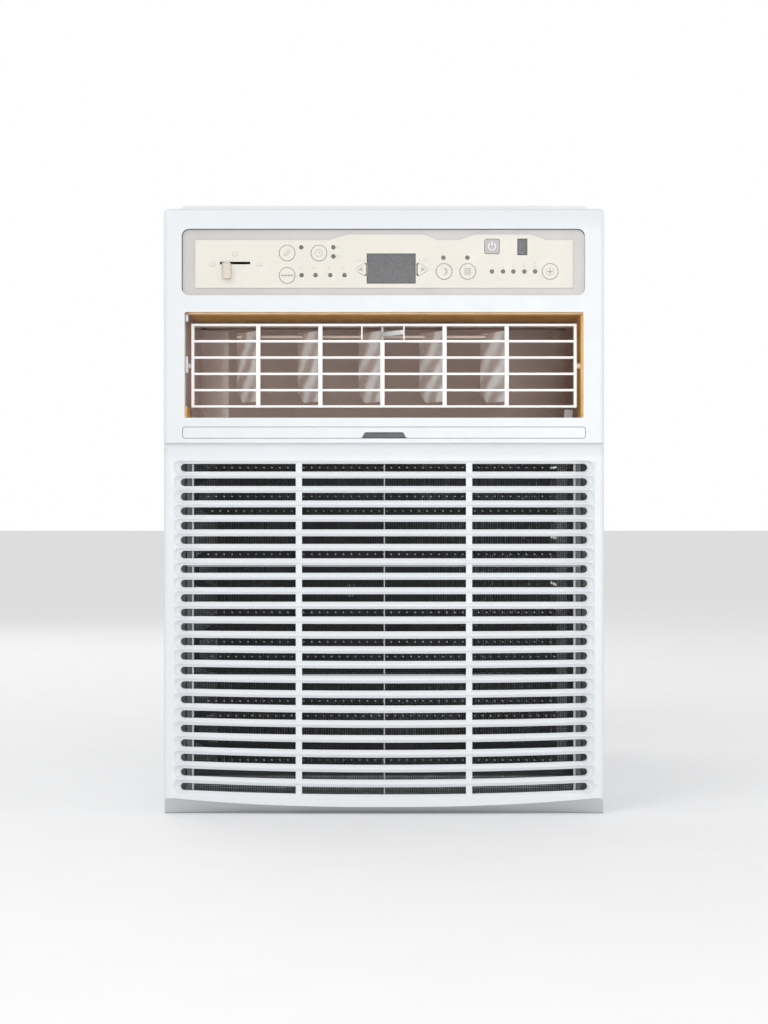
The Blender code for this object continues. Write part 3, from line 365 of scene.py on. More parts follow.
# ---- Intake grille ----
# The lower front is one white moulding with 23 rows of long slots that two posts divide in three.
# Each slot lies in a shallow dished channel, and the lower rows sag like a hammock. It unclips below.
grille_low, grille_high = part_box("intake_grille")
slot_rows = 23
slot_half = 0.1709
slot_top_centre = 0.2912
slot_pitch = 0.01216
slot_face = grille_low[1]
slot_dish = 0.00126
slot_radius = 0.0034
slot_radius_loss = 0.0002
slot_lip = 0.0004
channel_half = slot_half + 0.0062
channel_radius = 0.00575
post_place = 0.0715
post_half = 0.0026
sag_starts = 9
sag_step = 0.00031


def slot_middle(row, x):
    """The height of a slot's centre line at x: straight in the upper rows, sagging in the lower."""
    sag = sag_step * max(0, row - sag_starts)
    return slot_top_centre - slot_pitch * row - sag * (1 - (x / slot_half) ** 2)


def stadium(row, half, radius, steps=6, middle=26):
    """The outline of a slot with round ends, bent to its row's centre line."""
    straight = half - radius
    lower = [(-straight + 2 * straight * k / middle, -radius) for k in range(1, middle)]
    right = [(straight + radius * math.cos(a), radius * math.sin(a))
             for a in (math.pi * (k / (2 * steps) - 0.5) for k in range(2 * steps + 1))]
    left = [(-x, -v) for x, v in right]
    upper = [(-x, -v) for x, v in lower]
    return [(x, slot_middle(row, x) + v) for x, v in lower + right + upper + left]


def add_ring(bm, outline, y):
    """The outline's points, all at one depth."""
    return [bm.verts.new((x, y, z)) for x, z in outline]


def fill_between(bm, rings):
    """Flat faces between an outer ring and the rings inside it."""
    edges = []
    for ring in rings:
        edges += [bm.edges.get((ring[k], ring[(k + 1) % len(ring)]))
                  or bm.edges.new((ring[k], ring[(k + 1) % len(ring)])) for k in range(len(ring))]
    bmesh.ops.triangle_fill(bm, edges=edges, use_beauty=True, use_dissolve=False)


UNDERCUT = 0.015
lip_path = ((0, 0), (0.015, 0.035), (0.05, 0.10), (0.30, 0.34), (0.60, 0.62), (0.94, 0.90), (1, 1))


def grille_ring(bm, step, shape):
    """One ring around the moulding: its face rolls into its sides, and slopes away under the lip."""
    turn = math.pi / 2 * step / 6
    back = 1 - math.cos(turn)
    fall, recede = lip_path[step]
    points = []
    for x, z in shape:
        out = math.copysign(side_round * math.sin(turn), x) if abs(x) >= face_right - 1e-9 else 0
        under = z < lip[0][1] + 0.0001
        low = z - (z - grille_low[2]) * fall
        under_depth = recede * UNDERCUT * (1 - 0.4 * (abs(x) / face_right) ** 8)
        y = slot_face + max(back * side_round if out else 0, under_depth if under else 0)
        if z >= face_top:
            peak = grille_top if out else tongue_top
            low = z + (peak - z) * step / 6
            y = max(y, slot_face + tongue_depth * math.sin(turn) ** 2)
        points.append(bm.verts.new((x + out, y, low if under or z >= face_top else z)))
    return points


END_SCOOP = 0.0015


def end_share(x):
    """How much of the deeper scoop at a slot's end is there at x."""
    t = max(0.0, min(1.0, (abs(x) - slot_half + 0.0055) / 0.0050))
    return t * t * (3 - 2 * t)


grille_bm = bmesh.new()
side_round = 0.0030
face_right = grille_high[0] - side_round
lip_half = channel_half - 0.0016
lip = [(x, 0.0064 + 0.0073 * (abs(x) / lip_half) ** 2.4) for x in stations(lip_half, 0.004, 3, 40)]
face_top = 0.2985
tongue_half = inner - 0.0016
tongue_top = grille_top + 0.0022
tongue_depth = 0.0021
cheek = lip[0][1] + 0.009
outline = ([(-face_right, lip[0][1])] + lip + [(face_right, lip[-1][1]), (face_right, cheek)]
           + [(face_right, face_top), (tongue_half, face_top), (-tongue_half, face_top),
              (-face_right, face_top), (-face_right, cheek)])
shell = [grille_ring(grille_bm, step, outline) for step in range(7)]
side_back = grille_high[1]
inner_half = grille_high[0] - PANEL_WALL
inner_z = (lip[0][1] + 0.0013, grille_top - PANEL_WALL)
edge_points = [(v.co.x, v.co.z) for v in shell[-1]]
shell.append(add_ring(grille_bm, edge_points, side_back))
inner_points = [(max(-inner_half, min(inner_half, x)), max(inner_z[0], min(inner_z[1], z)))
                for x, z in edge_points]
rim_points = [(max(-RIM_HALF, min(RIM_HALF, x)), z) for x, z in inner_points]
shell.append(add_ring(grille_bm, rim_points, side_back))
shell.append(add_ring(grille_bm, rim_points, side_back - RIM))
shell.append(add_ring(grille_bm, inner_points, side_back - RIM))
shell.append(add_ring(grille_bm, inner_points, slot_face + PANEL_WALL))
for first, second in zip(shell, shell[1:]):
    bridge(grille_bm, first, second)
fronts, backs = [shell[0]], [shell[-1]]
for row in range(slot_rows):
    radius = slot_radius - slot_radius_loss * row / (slot_rows - 1)
    rings = []
    for k in range(6):
        t = k / 5
        half = channel_half - (channel_half - slot_half) * t
        height = channel_radius + (radius - channel_radius) * t
        sunk = slot_dish * t * t * (3 - 2 * t)
        scoop = END_SCOOP * math.sin(math.pi * min(1, t * 2.6) / 2) if k < 5 else 0
        rings.append([grille_bm.verts.new((x, slot_face + sunk + scoop * end_share(x), z))
                      for x, z in stadium(row, half, height)])
    for depth in (slot_dish + slot_lip, PANEL_WALL):
        mouth_outline = stadium(row, slot_half - 0.0003, radius - 0.0002)
        rings.append(add_ring(grille_bm, mouth_outline, slot_face + depth))
    for first, second in zip(rings, rings[1:]):
        bridge(grille_bm, first, second)
    fronts.append(rings[0])
    backs.append(rings[-1])
fill_between(grille_bm, fronts)
fill_between(grille_bm, backs)
bmesh.ops.remove_doubles(grille_bm, verts=grille_bm.verts, dist=0.000004)
bmesh.ops.dissolve_degenerate(grille_bm, edges=grille_bm.edges, dist=0.000004)
bmesh.ops.recalc_face_normals(grille_bm, faces=grille_bm.faces)
grille = mesh_object("grille", grille_bm)
posts = [box_mesh("slot_post", (side * post_place - post_half, slot_face + 0.0009, 0.012),
                  (side * post_place + post_half, slot_face + 0.0055, 0.300)) for side in (-1, 1)]
carve(grille, *posts, operation='UNION')
filter_low, filter_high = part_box("filter_screen")
filter_slot = box_mesh("filter_slot",
                       (filter_low[0] - 0.001, filter_low[1] - 0.0016, filter_high[2] - 0.006),
                       (filter_high[0] + 0.001, filter_high[1] + 0.0012, tongue_top + 0.001))
carve(grille, filter_slot)
even_shading(grille, 50)
finish_piece(grille, white, "root", "intake_grille")
# The faces under the lip get a darker copy of the white plastic: painted shade on the underside.
underside_painted_shade = moulded("white_abs_painted_shade", (0.500, 0.520, 0.536), (0.488, 0.508, 0.524), 0.45)
grille.data.materials.append(underside_painted_shade)
for face in grille.data.polygons:
    below_lip = face.center[2] < lip[0][1] and face.center[1] < slot_face + UNDERCUT
    at_corner = abs(face.center[0]) > lip_half and face.center[2] < 0.008
    if below_lip and (face.normal[2] < -0.3 or at_corner):
        face.material_index = 1


# ---- Filter ----
# A slide-in frame of white plastic bars with fine black netting moulded into it. It stands close
# behind the slots, held by its edges, and lifts a little as its handle is pulled.
def rounded_copy(node, width, segments=2, angle=30):
    """A copy of a CAD piece with its loose triangles merged, its faces made flat and its edges round."""
    copy = add_object(node + "_finish", nodes[node].data.copy())
    bm = bmesh.new()
    bm.from_mesh(copy.data)
    bmesh.ops.remove_doubles(bm, verts=bm.verts, dist=0.00001)
    bmesh.ops.dissolve_limit(bm, angle_limit=math.radians(1), verts=bm.verts, edges=bm.edges)
    bm.to_mesh(copy.data)
    bm.free()
    return soften(copy, width, angle, segments)


def dress(node, material, body, width, segments=2, angle=30):
    """A round-edged finish in place of a CAD piece."""
    return finish_piece(rounded_copy(node, width, segments, angle), material, body, node)


def joined(name, parts):
    """Several mesh objects as one, each kept as a closed shell."""
    bm = bmesh.new()
    for part in parts:
        bm.from_mesh(part.data)
        bpy.data.objects.remove(part)
    return mesh_object(name, bm)


def repeat_tree():
    """A node tree that sets equal bars along a line: a net, a pack of fins or a row of blades."""
    tree = bpy.data.node_groups.new("bar_row", 'GeometryNodeTree')
    tree.interface.new_socket("Geometry", in_out='OUTPUT', socket_type='NodeSocketGeometry')
    for label, kind in (("Count", 'NodeSocketInt'), ("Start", 'NodeSocketVector'),
                        ("Step", 'NodeSocketVector'), ("Bar Size", 'NodeSocketVector'),
                        ("Bar Turn", 'NodeSocketVector'), ("Material", 'NodeSocketMaterial')):
        tree.interface.new_socket(label, in_out='INPUT', socket_type=kind)
    inputs = tree.nodes.new('NodeGroupInput')
    outputs = tree.nodes.new('NodeGroupOutput')
    line = tree.nodes.new('GeometryNodeMeshLine')
    bar = tree.nodes.new('GeometryNodeMeshCube')
    place = tree.nodes.new('GeometryNodeInstanceOnPoints')
    real = tree.nodes.new('GeometryNodeRealizeInstances')
    paint = tree.nodes.new('GeometryNodeSetMaterial')
    links = tree.links
    links.new(inputs.outputs["Count"], line.inputs["Count"])
    links.new(inputs.outputs["Start"], line.inputs["Start Location"])
    links.new(inputs.outputs["Step"], line.inputs["Offset"])
    links.new(inputs.outputs["Bar Size"], bar.inputs["Size"])
    links.new(line.outputs["Mesh"], place.inputs["Points"])
    links.new(bar.outputs["Mesh"], place.inputs["Instance"])
    links.new(inputs.outputs["Bar Turn"], place.inputs["Rotation"])
    links.new(place.outputs["Instances"], real.inputs["Geometry"])
    links.new(real.outputs["Geometry"], paint.inputs["Geometry"])
    links.new(inputs.outputs["Material"], paint.inputs["Material"])
    links.new(paint.outputs["Geometry"], outputs.inputs["Geometry"])
    return tree


bar_row_tree = repeat_tree()


def run_tree(obj, tree, values):
    """Run a node tree on an object with these named inputs, and keep what it makes as a plain mesh."""
    modifier = obj.modifiers.new(tree.name, 'NODES')
    modifier.node_group = tree
    for item in tree.interface.items_tree:
        if item.name in values:
            modifier[item.identifier] = values[item.name]
    return apply_modifiers(obj)


def bar_row(name, count, start, step, size, material, turn=(0, 0, 0)):
    """A row of bars made by the node tree, as a plain mesh object."""
    return run_tree(add_object(name, bpy.data.meshes.new(name)), bar_row_tree,
                    {"Count": count, "Start": start, "Step": step, "Bar Size": size, "Bar Turn": turn,
                     "Material": material})


net_black = moulded("net_black", (0.0035, 0.0045, 0.0055), (0.008, 0.0095, 0.011), 0.6, 900, 0.00002)
frame_white = moulded("filter_frame_plastic", (0.50, 0.53, 0.55), (0.42, 0.45, 0.47), 0.45)
net_pitch = 0.00155
net_thread = 0.00046
net_y = 0.5 * (filter_low[1] + filter_high[1])
net_width = filter_high[0] - filter_low[0] - 0.006
net_height = filter_high[2] - filter_low[2] - 0.006
net_middle = 0.5 * (filter_low[2] + filter_high[2])
uprights = bar_row("net_uprights", int(net_width / net_pitch), (-net_width / 2, net_y, net_middle),
                   (net_pitch, 0, 0), (net_thread, net_thread, net_height), net_black)
crosses = bar_row("net_crosses", int(net_height / net_pitch),
                  (0, net_y - net_thread, net_middle - net_height / 2),
                  (0, 0, net_pitch), (net_width, net_thread, net_thread), net_black)
# Rows of small light grey dots on the net are painted glints from the fin edges behind it.
glint_pitch = 0.0067
glint_rows = []
for row in (0, 2, 3, 6, 10, 12, 13, 16, 17, 20):
    shift = glint_pitch / 2 * (row % 2)
    first_glint = (-0.1480 + shift, filter_low[1] + 0.0006, slot_middle(row, 0.05) + 0.0002)
    glint_rows.append(bar_row("net_painted_glints", 44, first_glint, (glint_pitch, 0, 0), (0.0014, 0.0004, 0.0010),
                             net_black, (0, 0.6, 0)))
net = joined("filter_net", [uprights, crosses])
glint_dots = joined("filter_net_painted_glints", glint_rows)
painted_glint_grey = moulded("painted_glint_grey", (0.360, 0.375, 0.390), (0.120, 0.128, 0.135), 0.5, 300)
finish_piece(glint_dots, painted_glint_grey, "filter_screen", slot="filter_mesh")
finish_piece(net, net_black, "filter_screen", "filter_screen", slot="filter_mesh")
frame_foot = inner_z[0] + GAP
bars = []
for x, width in ((-0.1609, 0.0018), (0.1604, 0.0020), (0.0003, 0.0011)):
    bars.append(box_mesh("filter_bar", (x - width / 2, filter_low[1] - 0.0006, frame_foot),
                         (x + width / 2, filter_high[1], filter_high[2] - 0.001)))
for z, height in ((frame_foot + 0.0006, 0.0012), (0.1166, 0.0016), (0.2085, 0.0012), (0.3040, 0.0024)):
    bars.append(box_mesh("filter_bar", (filter_low[0] + 0.001, filter_low[1], z - height / 2),
                         (filter_high[0] - 0.001, filter_high[1] - 0.0005, z + height / 2)))
filter_frame = joined("filter_frame", bars)
soften(filter_frame, 0.0003)
finish_piece(filter_frame, frame_white, "filter_screen", slot="filter_mesh")
edge_grey = moulded("filter_edge_grey", (0.055, 0.060, 0.064), (0.085, 0.090, 0.094), 0.5)
edges = joined("filter_edges", [box_mesh("filter_edge", (min(a, b), filter_low[1] + 0.0002, frame_foot),
                                         (max(a, b), filter_high[1] - 0.0002, filter_high[2] - 0.001))
                                for a, b in ((-0.1662, -0.1622), (0.1617, 0.1662))])
soften(edges, 0.0003)
finish_piece(edges, edge_grey, "filter_screen", slot="filter_mesh")


# ---- Filter handle ----
# A long white strip under the air outlet, one moulding with a finger notch at its middle. It stands
# flush in the fascia with a fine gap all round, and its flange reaches down to the filter.
dress("filter_handle", white, "filter_handle", 0.0005, 3)
# A dark grey sheet at the back of the finger notch is painted shade for the hollow of the notch.
notch_painted_shade = moulded("notch_painted_shade", (0.110, 0.120, 0.126), (0.090, 0.099, 0.105), 0.5)
notch_shade_sheet = box_mesh("handle_notch_painted_shade", (-0.0190, FRONT + 0.0028, handle_low[2] + 0.0003),
                  (0.0190, FRONT + 0.0036, handle_low[2] + 0.0056))
soften(notch_shade_sheet, 0.0002)
finish_piece(notch_shade_sheet, notch_painted_shade, "filter_handle", slot="grey_plastic")
# A small black disc in the notch is painted shade for a small hole there.
hole_shade_outline = arc((0, handle_low[2] + 0.0046), 0.0007, 0, 330, 11)
hole_shade_disc = prism("handle_hole_painted_shade", hole_shade_outline, FRONT + 0.0024, FRONT + 0.0030)
finish_piece(hole_shade_disc, net_black, "filter_handle", slot="grey_plastic")


# ---- Control bezel and overlay ----
# A grey-beige moulded frame sits in the recess, and a thin cream sheet with printed marks is glued
# on it. The sheet steps up over the display and over the power key in two soft waves.
def stroke(points, width, closed=False):
    """The outlines of the straight pieces of a drawn line."""
    shapes = []
    pairs = list(zip(points, points[1:] + points[:1] if closed else points[1:]))
    for (x0, z0), (x1, z1) in pairs:
        length = math.hypot(x1 - x0, z1 - z0)
        dx, dz = -(z1 - z0) / length * width / 2, (x1 - x0) / length * width / 2
        shapes.append([(x0 + dx, z0 + dz), (x0 - dx, z0 - dz), (x1 - dx, z1 - dz), (x1 + dx, z1 + dz)])
    return shapes


bezel_grey = moulded("bezel_plastic", (0.495, 0.475, 0.465), (0.525, 0.505, 0.495), 0.34)
dress("control_bezel", bezel_grey, "root", 0.0006, 3)
# A thin dark grey line along the top and left edges of the recess is painted shadow from the recess wall.
recess_shadow_paint = moulded("recess_shadow_paint", (0.085, 0.088, 0.090), (0.120, 0.123, 0.126), 0.6)
shadow_line_left, shadow_line_right = recess[0] + recess_round, recess[1] - recess_round
shadow_line_round = 0.0060
shadow_line_path = (arc((shadow_line_left, recess[2] + recess_round), shadow_line_round, 200, 180, 3)
             + arc((shadow_line_left, recess[3] - recess_round), shadow_line_round, 180, 90, 8)
             + arc((shadow_line_right, recess[3] - recess_round), shadow_line_round, 90, 20, 7))
recess_shadow_line = joined("recess_painted_shadow", [prism("recess_shadow_line", shape, recess_low[1] - 0.0003, recess_low[1] + 0.0003)
                              for shape in stroke(shadow_line_path, 0.0006)])
finish_piece(recess_shadow_line, recess_shadow_paint, "root", slot="grey_plastic")
cream = moulded("cream_sheet", (0.665, 0.640, 0.575), (0.650, 0.625, 0.560), 0.42, 3200, 0.00001)
dress("control_overlay", cream, "root", 0.00022, 2, 40)


# ---- Keys, lamps and printed marks ----
# Membrane keys domed from the same cream plastic, each in a printed grey ring with a small sign on
# it. The lamps are clear guides that look dark when unlit. The power key is grey with a white sign.
print_grey = moulded("print_grey", (0.430, 0.420, 0.390), (0.400, 0.390, 0.362), 0.5, 3000, 0.000005)
print_pale = moulded("print_pale", (0.520, 0.505, 0.465), (0.500, 0.485, 0.445), 0.5, 3000, 0.000005)
print_white = moulded("print_white", (0.80, 0.79, 0.76), (0.78, 0.77, 0.74), 0.5, 3000, 0.000005)
PRINT = 0.00004


def printed(name, shapes, y, material, body):
    """A print a few hundredths of a millimetre thick, from outlines in the front plane."""
    return finish_piece(joined(name, [prism("mark", shape, y - PRINT, y + PRINT) for shape in shapes]),
                        material, body)


def ring(centre, radius, width, start=0, end=360, steps=40):
    """The pieces of a drawn circle or arc, angles in degrees."""
    inner = arc(centre, radius - width / 2, start, end, steps)
    outer = arc(centre, radius + width / 2, start, end, steps)
    return [[inner[k], outer[k], outer[k + 1], inner[k + 1]] for k in range(steps)]


def dot(centre, radius):
    """The outline of a filled spot."""
    return arc(centre, radius, 0, 330, 11)


def key_middle(node):
    """The middle of a key in the front plane."""
    low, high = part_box(node)
    return (0.5 * (low[0] + high[0]), 0.5 * (low[2] + high[2]))


def eco_sign(c):
    """A leaf with its stalk."""
    edges = [[(c[0] - 0.0024 + 0.0050 * t, c[1] - 0.0018 + 0.0040 * t + bulge * math.sin(math.pi * t))
              for t in [k / 10 for k in range(11)]] for bulge in (0.0019, -0.0021)]
    vein = [(c[0] - 0.0034, c[1] - 0.0028), (c[0] + 0.0012, c[1] + 0.0010)]
    return stroke(edges[0], 0.0004) + stroke(edges[1], 0.0004) + stroke(vein, 0.0004)


def timer_sign(c):
    """A clock face with two hands."""
    hands = [(c[0], c[1] + 0.0019), (c[0], c[1]), (c[0] + 0.0014, c[1])]
    return ring(c, 0.0030, 0.0005, steps=28) + stroke(hands, 0.0006)


def mode_sign(c):
    """A line through three dots."""
    line = stroke([(c[0] - 0.0046, c[1]), (c[0] + 0.0046, c[1])], 0.0005)
    return line + [dot((c[0] + x, c[1]), 0.0008) for x in (-0.0042, -0.0014, 0.0014, 0.0042)]


def sleep_sign(c):
    """A crescent moon."""
    outer = arc(c, 0.0030, -100, 100, 16)
    inner = arc((c[0] - 0.0012, c[1]), 0.0026, 80, -80, 16)
    return [outer + inner]


def filter_sign(c):
    """A small lattice."""
    lines = []
    for k in range(4):
        at = -0.0024 + 0.0016 * k
        lines += stroke([(c[0] + at, c[1] - 0.0028), (c[0] + at, c[1] + 0.0028)], 0.0004)
        lines += stroke([(c[0] - 0.0028, c[1] + at), (c[0] + 0.0028, c[1] + at)], 0.0004)
    return lines


def fan_sign(c):
    """Four round blades about a hub."""
    blades = []
    for k in range(4):
        a = math.radians(45 + 90 * k)
        blades += ring((c[0] + 0.0021 * math.cos(a), c[1] + 0.0021 * math.sin(a)), 0.0015, 0.0004, steps=14)
    return blades + [dot(c, 0.0007)]


key_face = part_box("eco_button")[0][1]
overlay_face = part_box("control_overlay")[0][1]
signs = {"eco_button": eco_sign, "timer_button": timer_sign, "mode_button": mode_sign,
         "sleep_button": sleep_sign, "filter_button": filter_sign, "fan_button": fan_sign}
surrounds = []
for key, sign in signs.items():
    middle = key_middle(key)
    radius = 0.5 * (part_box(key)[1][0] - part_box(key)[0][0]) - 0.001
    dress(key, cream, key, 0.00018, 2, 50)
    printed(key + "_sign", sign(middle), key_face, print_grey, key)
    surrounds += ring(middle, radius + 0.00028, 0.00036, steps=48)
for key, tip in (("temperature_down_button", -1), ("temperature_up_button", 1)):
    middle = key_middle(key)
    dress(key, cream, key, 0.00018, 2, 50)
    triangle = [(middle[0] + tip * 0.0026, middle[1]), (middle[0] - tip * 0.0014, middle[1] + 0.0022),
                (middle[0] - tip * 0.0014, middle[1] - 0.0022)]
    printed(key + "_sign", [triangle], key_face, print_grey, key)
    low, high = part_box(key)
    tip_x, base_x = (high[0], low[0]) if tip > 0 else (low[0], high[0])
    corner_points = [(tip_x - tip * 0.0009, middle[1]), (base_x + tip * 0.0006, high[2] - 0.0006),
                     (base_x + tip * 0.0006, low[2] + 0.0006)]
    printed(key + "_rim", stroke(corner_points, 0.0016, closed=True), overlay_face + PRINT, cream, "root")
printed("key_rings", surrounds, overlay_face, print_grey, "root")

power_grey = moulded("power_key_grey", (0.395, 0.390, 0.380), (0.42, 0.415, 0.405), 0.38)
dress("power_button", power_grey, "power_button", 0.0003, 2, 50)
middle = key_middle("power_button")
printed("power_button_sign", ring(middle, 0.0030, 0.0007, 125, 415, 30)
        + stroke([(middle[0], middle[1] + 0.0004), (middle[0], middle[1] + 0.0040)], 0.0008),
        key_face, print_white, "power_button")

lamp_olive = moulded("lamp_olive", (0.060, 0.060, 0.048), (0.085, 0.085, 0.070), 0.25)
for guide in ("light_guide_left", "light_guide_right"):
    dress(guide, lamp_olive, "root", 0.00012, 1, 50)


def paint_node(material, *names):
    """Give CAD nodes whose shape is right a finish of their own."""
    for name in names:
        obj = nodes[name]
        obj.data.materials.clear()
        obj.data.materials.append(material)


def speckled(name, dark, light, roughness):
    """Dark glass over a speckled mask."""
    material, tree, shader = new_material(name)
    grains = noise(tree, 950, 4)
    tree.links.new(blend_colours(tree, grains, dark, light, 0.38, 0.66), shader.inputs["Base Color"])
    tree.links.new(spread(tree, noise(tree, 300, 2), roughness - 0.05, roughness + 0.08),
                   shader.inputs["Roughness"])
    bump(tree, shader, noise(tree, 900, 2), 0.000006)
    shader.inputs["Coat Weight"].default_value = 0.25
    shader.inputs["Coat Roughness"].default_value = 0.1
    return material


display_glass = speckled("display_glass", (0.004, 0.004, 0.006), (0.046, 0.047, 0.055), 0.34)
sensor_glass = speckled("sensor_glass", (0.006, 0.006, 0.008), (0.020, 0.021, 0.024), 0.28)
dress("display_window", display_glass, "root", 0.0002, 1, 50)
dress("ir_window", sensor_glass, "root", 0.0002, 1, 50)

# Small signs stand over the lamps and around the vent slot: bars, dots and waves only.
marks = []
mode_signs_z = 0.4586
for x in (-0.0700, -0.0588, -0.0463, -0.0343):
    marks += stroke([(x - 0.0014, mode_signs_z), (x + 0.0014, mode_signs_z)], 0.0005)
    marks.append(dot((x, mode_signs_z + 0.0010), 0.0005))
for x, z in ((-0.0386, 0.4765), (-0.0386, 0.4685)):
    marks += ring((x, z), 0.0010, 0.0004, steps=12) + stroke([(x + 0.0016, z), (x + 0.0030, z)], 0.0004)
for k, x in enumerate((0.0906, 0.0997, 0.1086, 0.1177, 0.1266)):
    for level in range(1 + max(0, k - 1)):
        z = 0.4596 + 0.0015 * level
        marks += stroke([(x - 0.0009, z), (x + 0.0009, z)], 0.0005)
for x in (-0.0194, 0.0331):
    marks += stroke([(x - 0.0030, 0.4640), (x - 0.0030, 0.4664)], 0.0005)
    marks += stroke([(x - 0.0012, 0.4640), (x, 0.4664)], 0.0005)
    marks += ring((x + 0.0022, 0.4652), 0.0009, 0.0004, steps=12)
for x, z in ((-0.1440, 0.4620), (-0.1250, 0.4705), (-0.1046, 0.4620)):
    marks += ring((x, z), 0.0021, 0.0005, steps=16)
    marks += stroke([(x - 0.0030, z - 0.0008), (x + 0.0030, z - 0.0008)], 0.0004)
printed("lamp_signs", marks, overlay_face, print_pale, "root")


# ---- Vent lever ----
# A flat beige T knob in a slot at the left of the sheet. It slides right to open the air vent, with
# a rod back to a shutter on the bulkhead, and the slot shows black where the knob isn't.
lever_beige = moulded("lever_beige", (0.590, 0.535, 0.450), (0.555, 0.500, 0.420), 0.4)
dress("vent_lever", lever_beige, "vent_control", 0.0007, 3)
lever_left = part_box("vent_lever")[0][0]
slot_cover = box_mesh("vent_slot_cover", (lever_left - 0.0009, overlay_face + 0.0002, 0.4622),
                      (lever_left + 0.0004, overlay_face + 0.0008, 0.4640))
soften(slot_cover, 0.0001)
finish_piece(slot_cover, print_pale, "vent_control", slot="cream_plastic")


# ---- Air duct ----
# The outlet is a moulded grey-brown duct behind the fascia, with a thin curved sheet in each back
# corner. Amber foam tape lines its top, its right side and one corner, beside three white lugs.
duct_brown = moulded("duct_brown", (0.700, 0.560, 0.500), (0.640, 0.510, 0.455), 0.55, 1500, 0.00004)
dress("discharge_duct", duct_brown, "root", 0.0006)


def foam(name, colour, shade):
    """Soft foam with open pores and an uneven tone."""
    material, tree, shader = new_material(name)
    clouds = noise(tree, 90, 5, (1, 0.25, 1))
    tree.links.new(blend_colours(tree, clouds, colour, shade), shader.inputs["Base Color"])
    tree.links.new(spread(tree, noise(tree, 500, 2), 0.75, 0.95), shader.inputs["Roughness"])
    bump(tree, shader, noise(tree, 1400, 4), 0.00012)
    return material


def duct_strips(name, corners, material, slot, width, segments=2):
    """Strips and lugs in the duct's mouth, each given by its low and its high corner, as one piece."""
    strips = joined(name, [box_mesh("strip", *pair) for pair in corners])
    soften(strips, width, 40, segments)
    finish_piece(strips, material, "root", slot=slot)


amber = foam("amber_foam", (1.000, 0.640, 0.230), (0.940, 0.560, 0.180))
# A darker copy of the amber foam, for painted shade in its creases.
amber_painted_shade = foam("amber_foam_painted_shade", (0.500, 0.300, 0.170), (0.420, 0.250, 0.140))
left, right, low, high = opening
tape = 0.0011
mouth = duct_low[1] + 0.0008
duct_strips("duct_lining", (
    ((left + 0.0030, mouth, high - tape), (right - 0.0002, mouth + 0.085, high - 0.0001)),
    ((right - tape, mouth, low + 0.0002), (right - 0.0001, mouth + 0.046, high - tape)),
    ((left + 0.0001, mouth, low + 0.0002), (left + tape, mouth + 0.040, low + 0.0100))),
    amber, "duct_foam", 0.0003)
# Darker amber lines along the top front edge of the tape and down the right wall are painted shade.
duct_strips("duct_tape_painted_shade", (
    ((left + 0.0002, mouth + 0.0004, high - 0.0020), (right - 0.0002, mouth + 0.0014, high - 0.0002)),
    ((right - 0.0022, mouth + 0.0220, low + 0.0002), (right - 0.0009, mouth + 0.0240, high - 0.0012))),
    amber_painted_shade, "duct_foam", 0.0002)
duct_strips("duct_collar", (
    ((left + 0.0001, mouth + 0.0005, high - 0.0075), (left + 0.0026, mouth + 0.0070, high - 0.0004)),
    ((left + 0.0001, mouth + 0.0016, low + 0.0380), (left + 0.0022, mouth + 0.0090, low + 0.0520)),
    ((right - 0.0116, mouth + 0.0560, low + 0.0002), (right - 0.0040, mouth + 0.0640, low + 0.0095))),
    white, "white_plastic", 0.0006, 3)
duct_back = duct_high[1]
back_wall = duct_back - 0.0032
corner_radius = 0.024


def corner_sheet(name, side, radius, length, material):
    """A thin curved sheet from a side wall of the duct, around its back corner, to its back wall."""
    wall = (right if side > 0 else left) - side * 0.0004
    bend = [(wall - side * radius * (1 - math.cos(a)), back_wall - radius + radius * math.sin(a))
            for a in (math.pi / 2 * k / 10 for k in range(11))]
    front = [(wall, back_wall - length)] + bend
    rear = [(x + side * 0.0003, y + 0.0003) for x, y in reversed(front)]
    sheet = loft(name, [[(x, y, z) for x, y in front + rear] for z in (low + 0.0006, high - 0.0016)])
    finish_piece(even_shading(sheet), material, "root", slot="duct_foam")


# The left corner sheet is a lighter copy of the duct brown: a painted highlight on that corner.
duct_painted_highlight_brown = moulded("duct_brown_painted_highlight", (0.900, 0.760, 0.700), (0.780, 0.640, 0.580), 0.24, 1500, 0.00003)
corner_sheet("duct_corner_left", -1, corner_radius, 0.120, duct_painted_highlight_brown)
corner_sheet("duct_corner_right", 1, corner_radius * 0.6, 0.060, duct_brown)
plate_brown = moulded("plate_brown", (0.360, 0.280, 0.250), (0.320, 0.250, 0.222), 0.6)
plate = box_mesh("duct_plate", (-0.0600, duct_back - 0.070, low + 0.0001),
                 (0.0700, duct_back - 0.015, low + 0.0012))
soften(plate, 0.0005)
finish_piece(plate, plate_brown, "root", slot="duct_foam")


# ---- Louver frame ----
# A warm white moulded lattice, one piece, that tilts on a pin at each end. Its flat bars are level
# with its ribs, and two short posts at the top make a window for the vane handle.
warm_white = moulded("warm_white", (0.880, 0.862, 0.848), (0.862, 0.845, 0.832), 0.32)
dress("louver_frame", warm_white, "louver_frame", 0.0004)


# ---- Vanes, tie bar and vane handle ----
# Five vanes of thin milky plastic hang in the frame, and a thin bar behind ties them together. Their
# colour carries slanting streaks of painted highlight, and painted light towards the front edge. The
# handle on the middle one is solid white plastic.
vane_low, vane_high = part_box("vane_1")


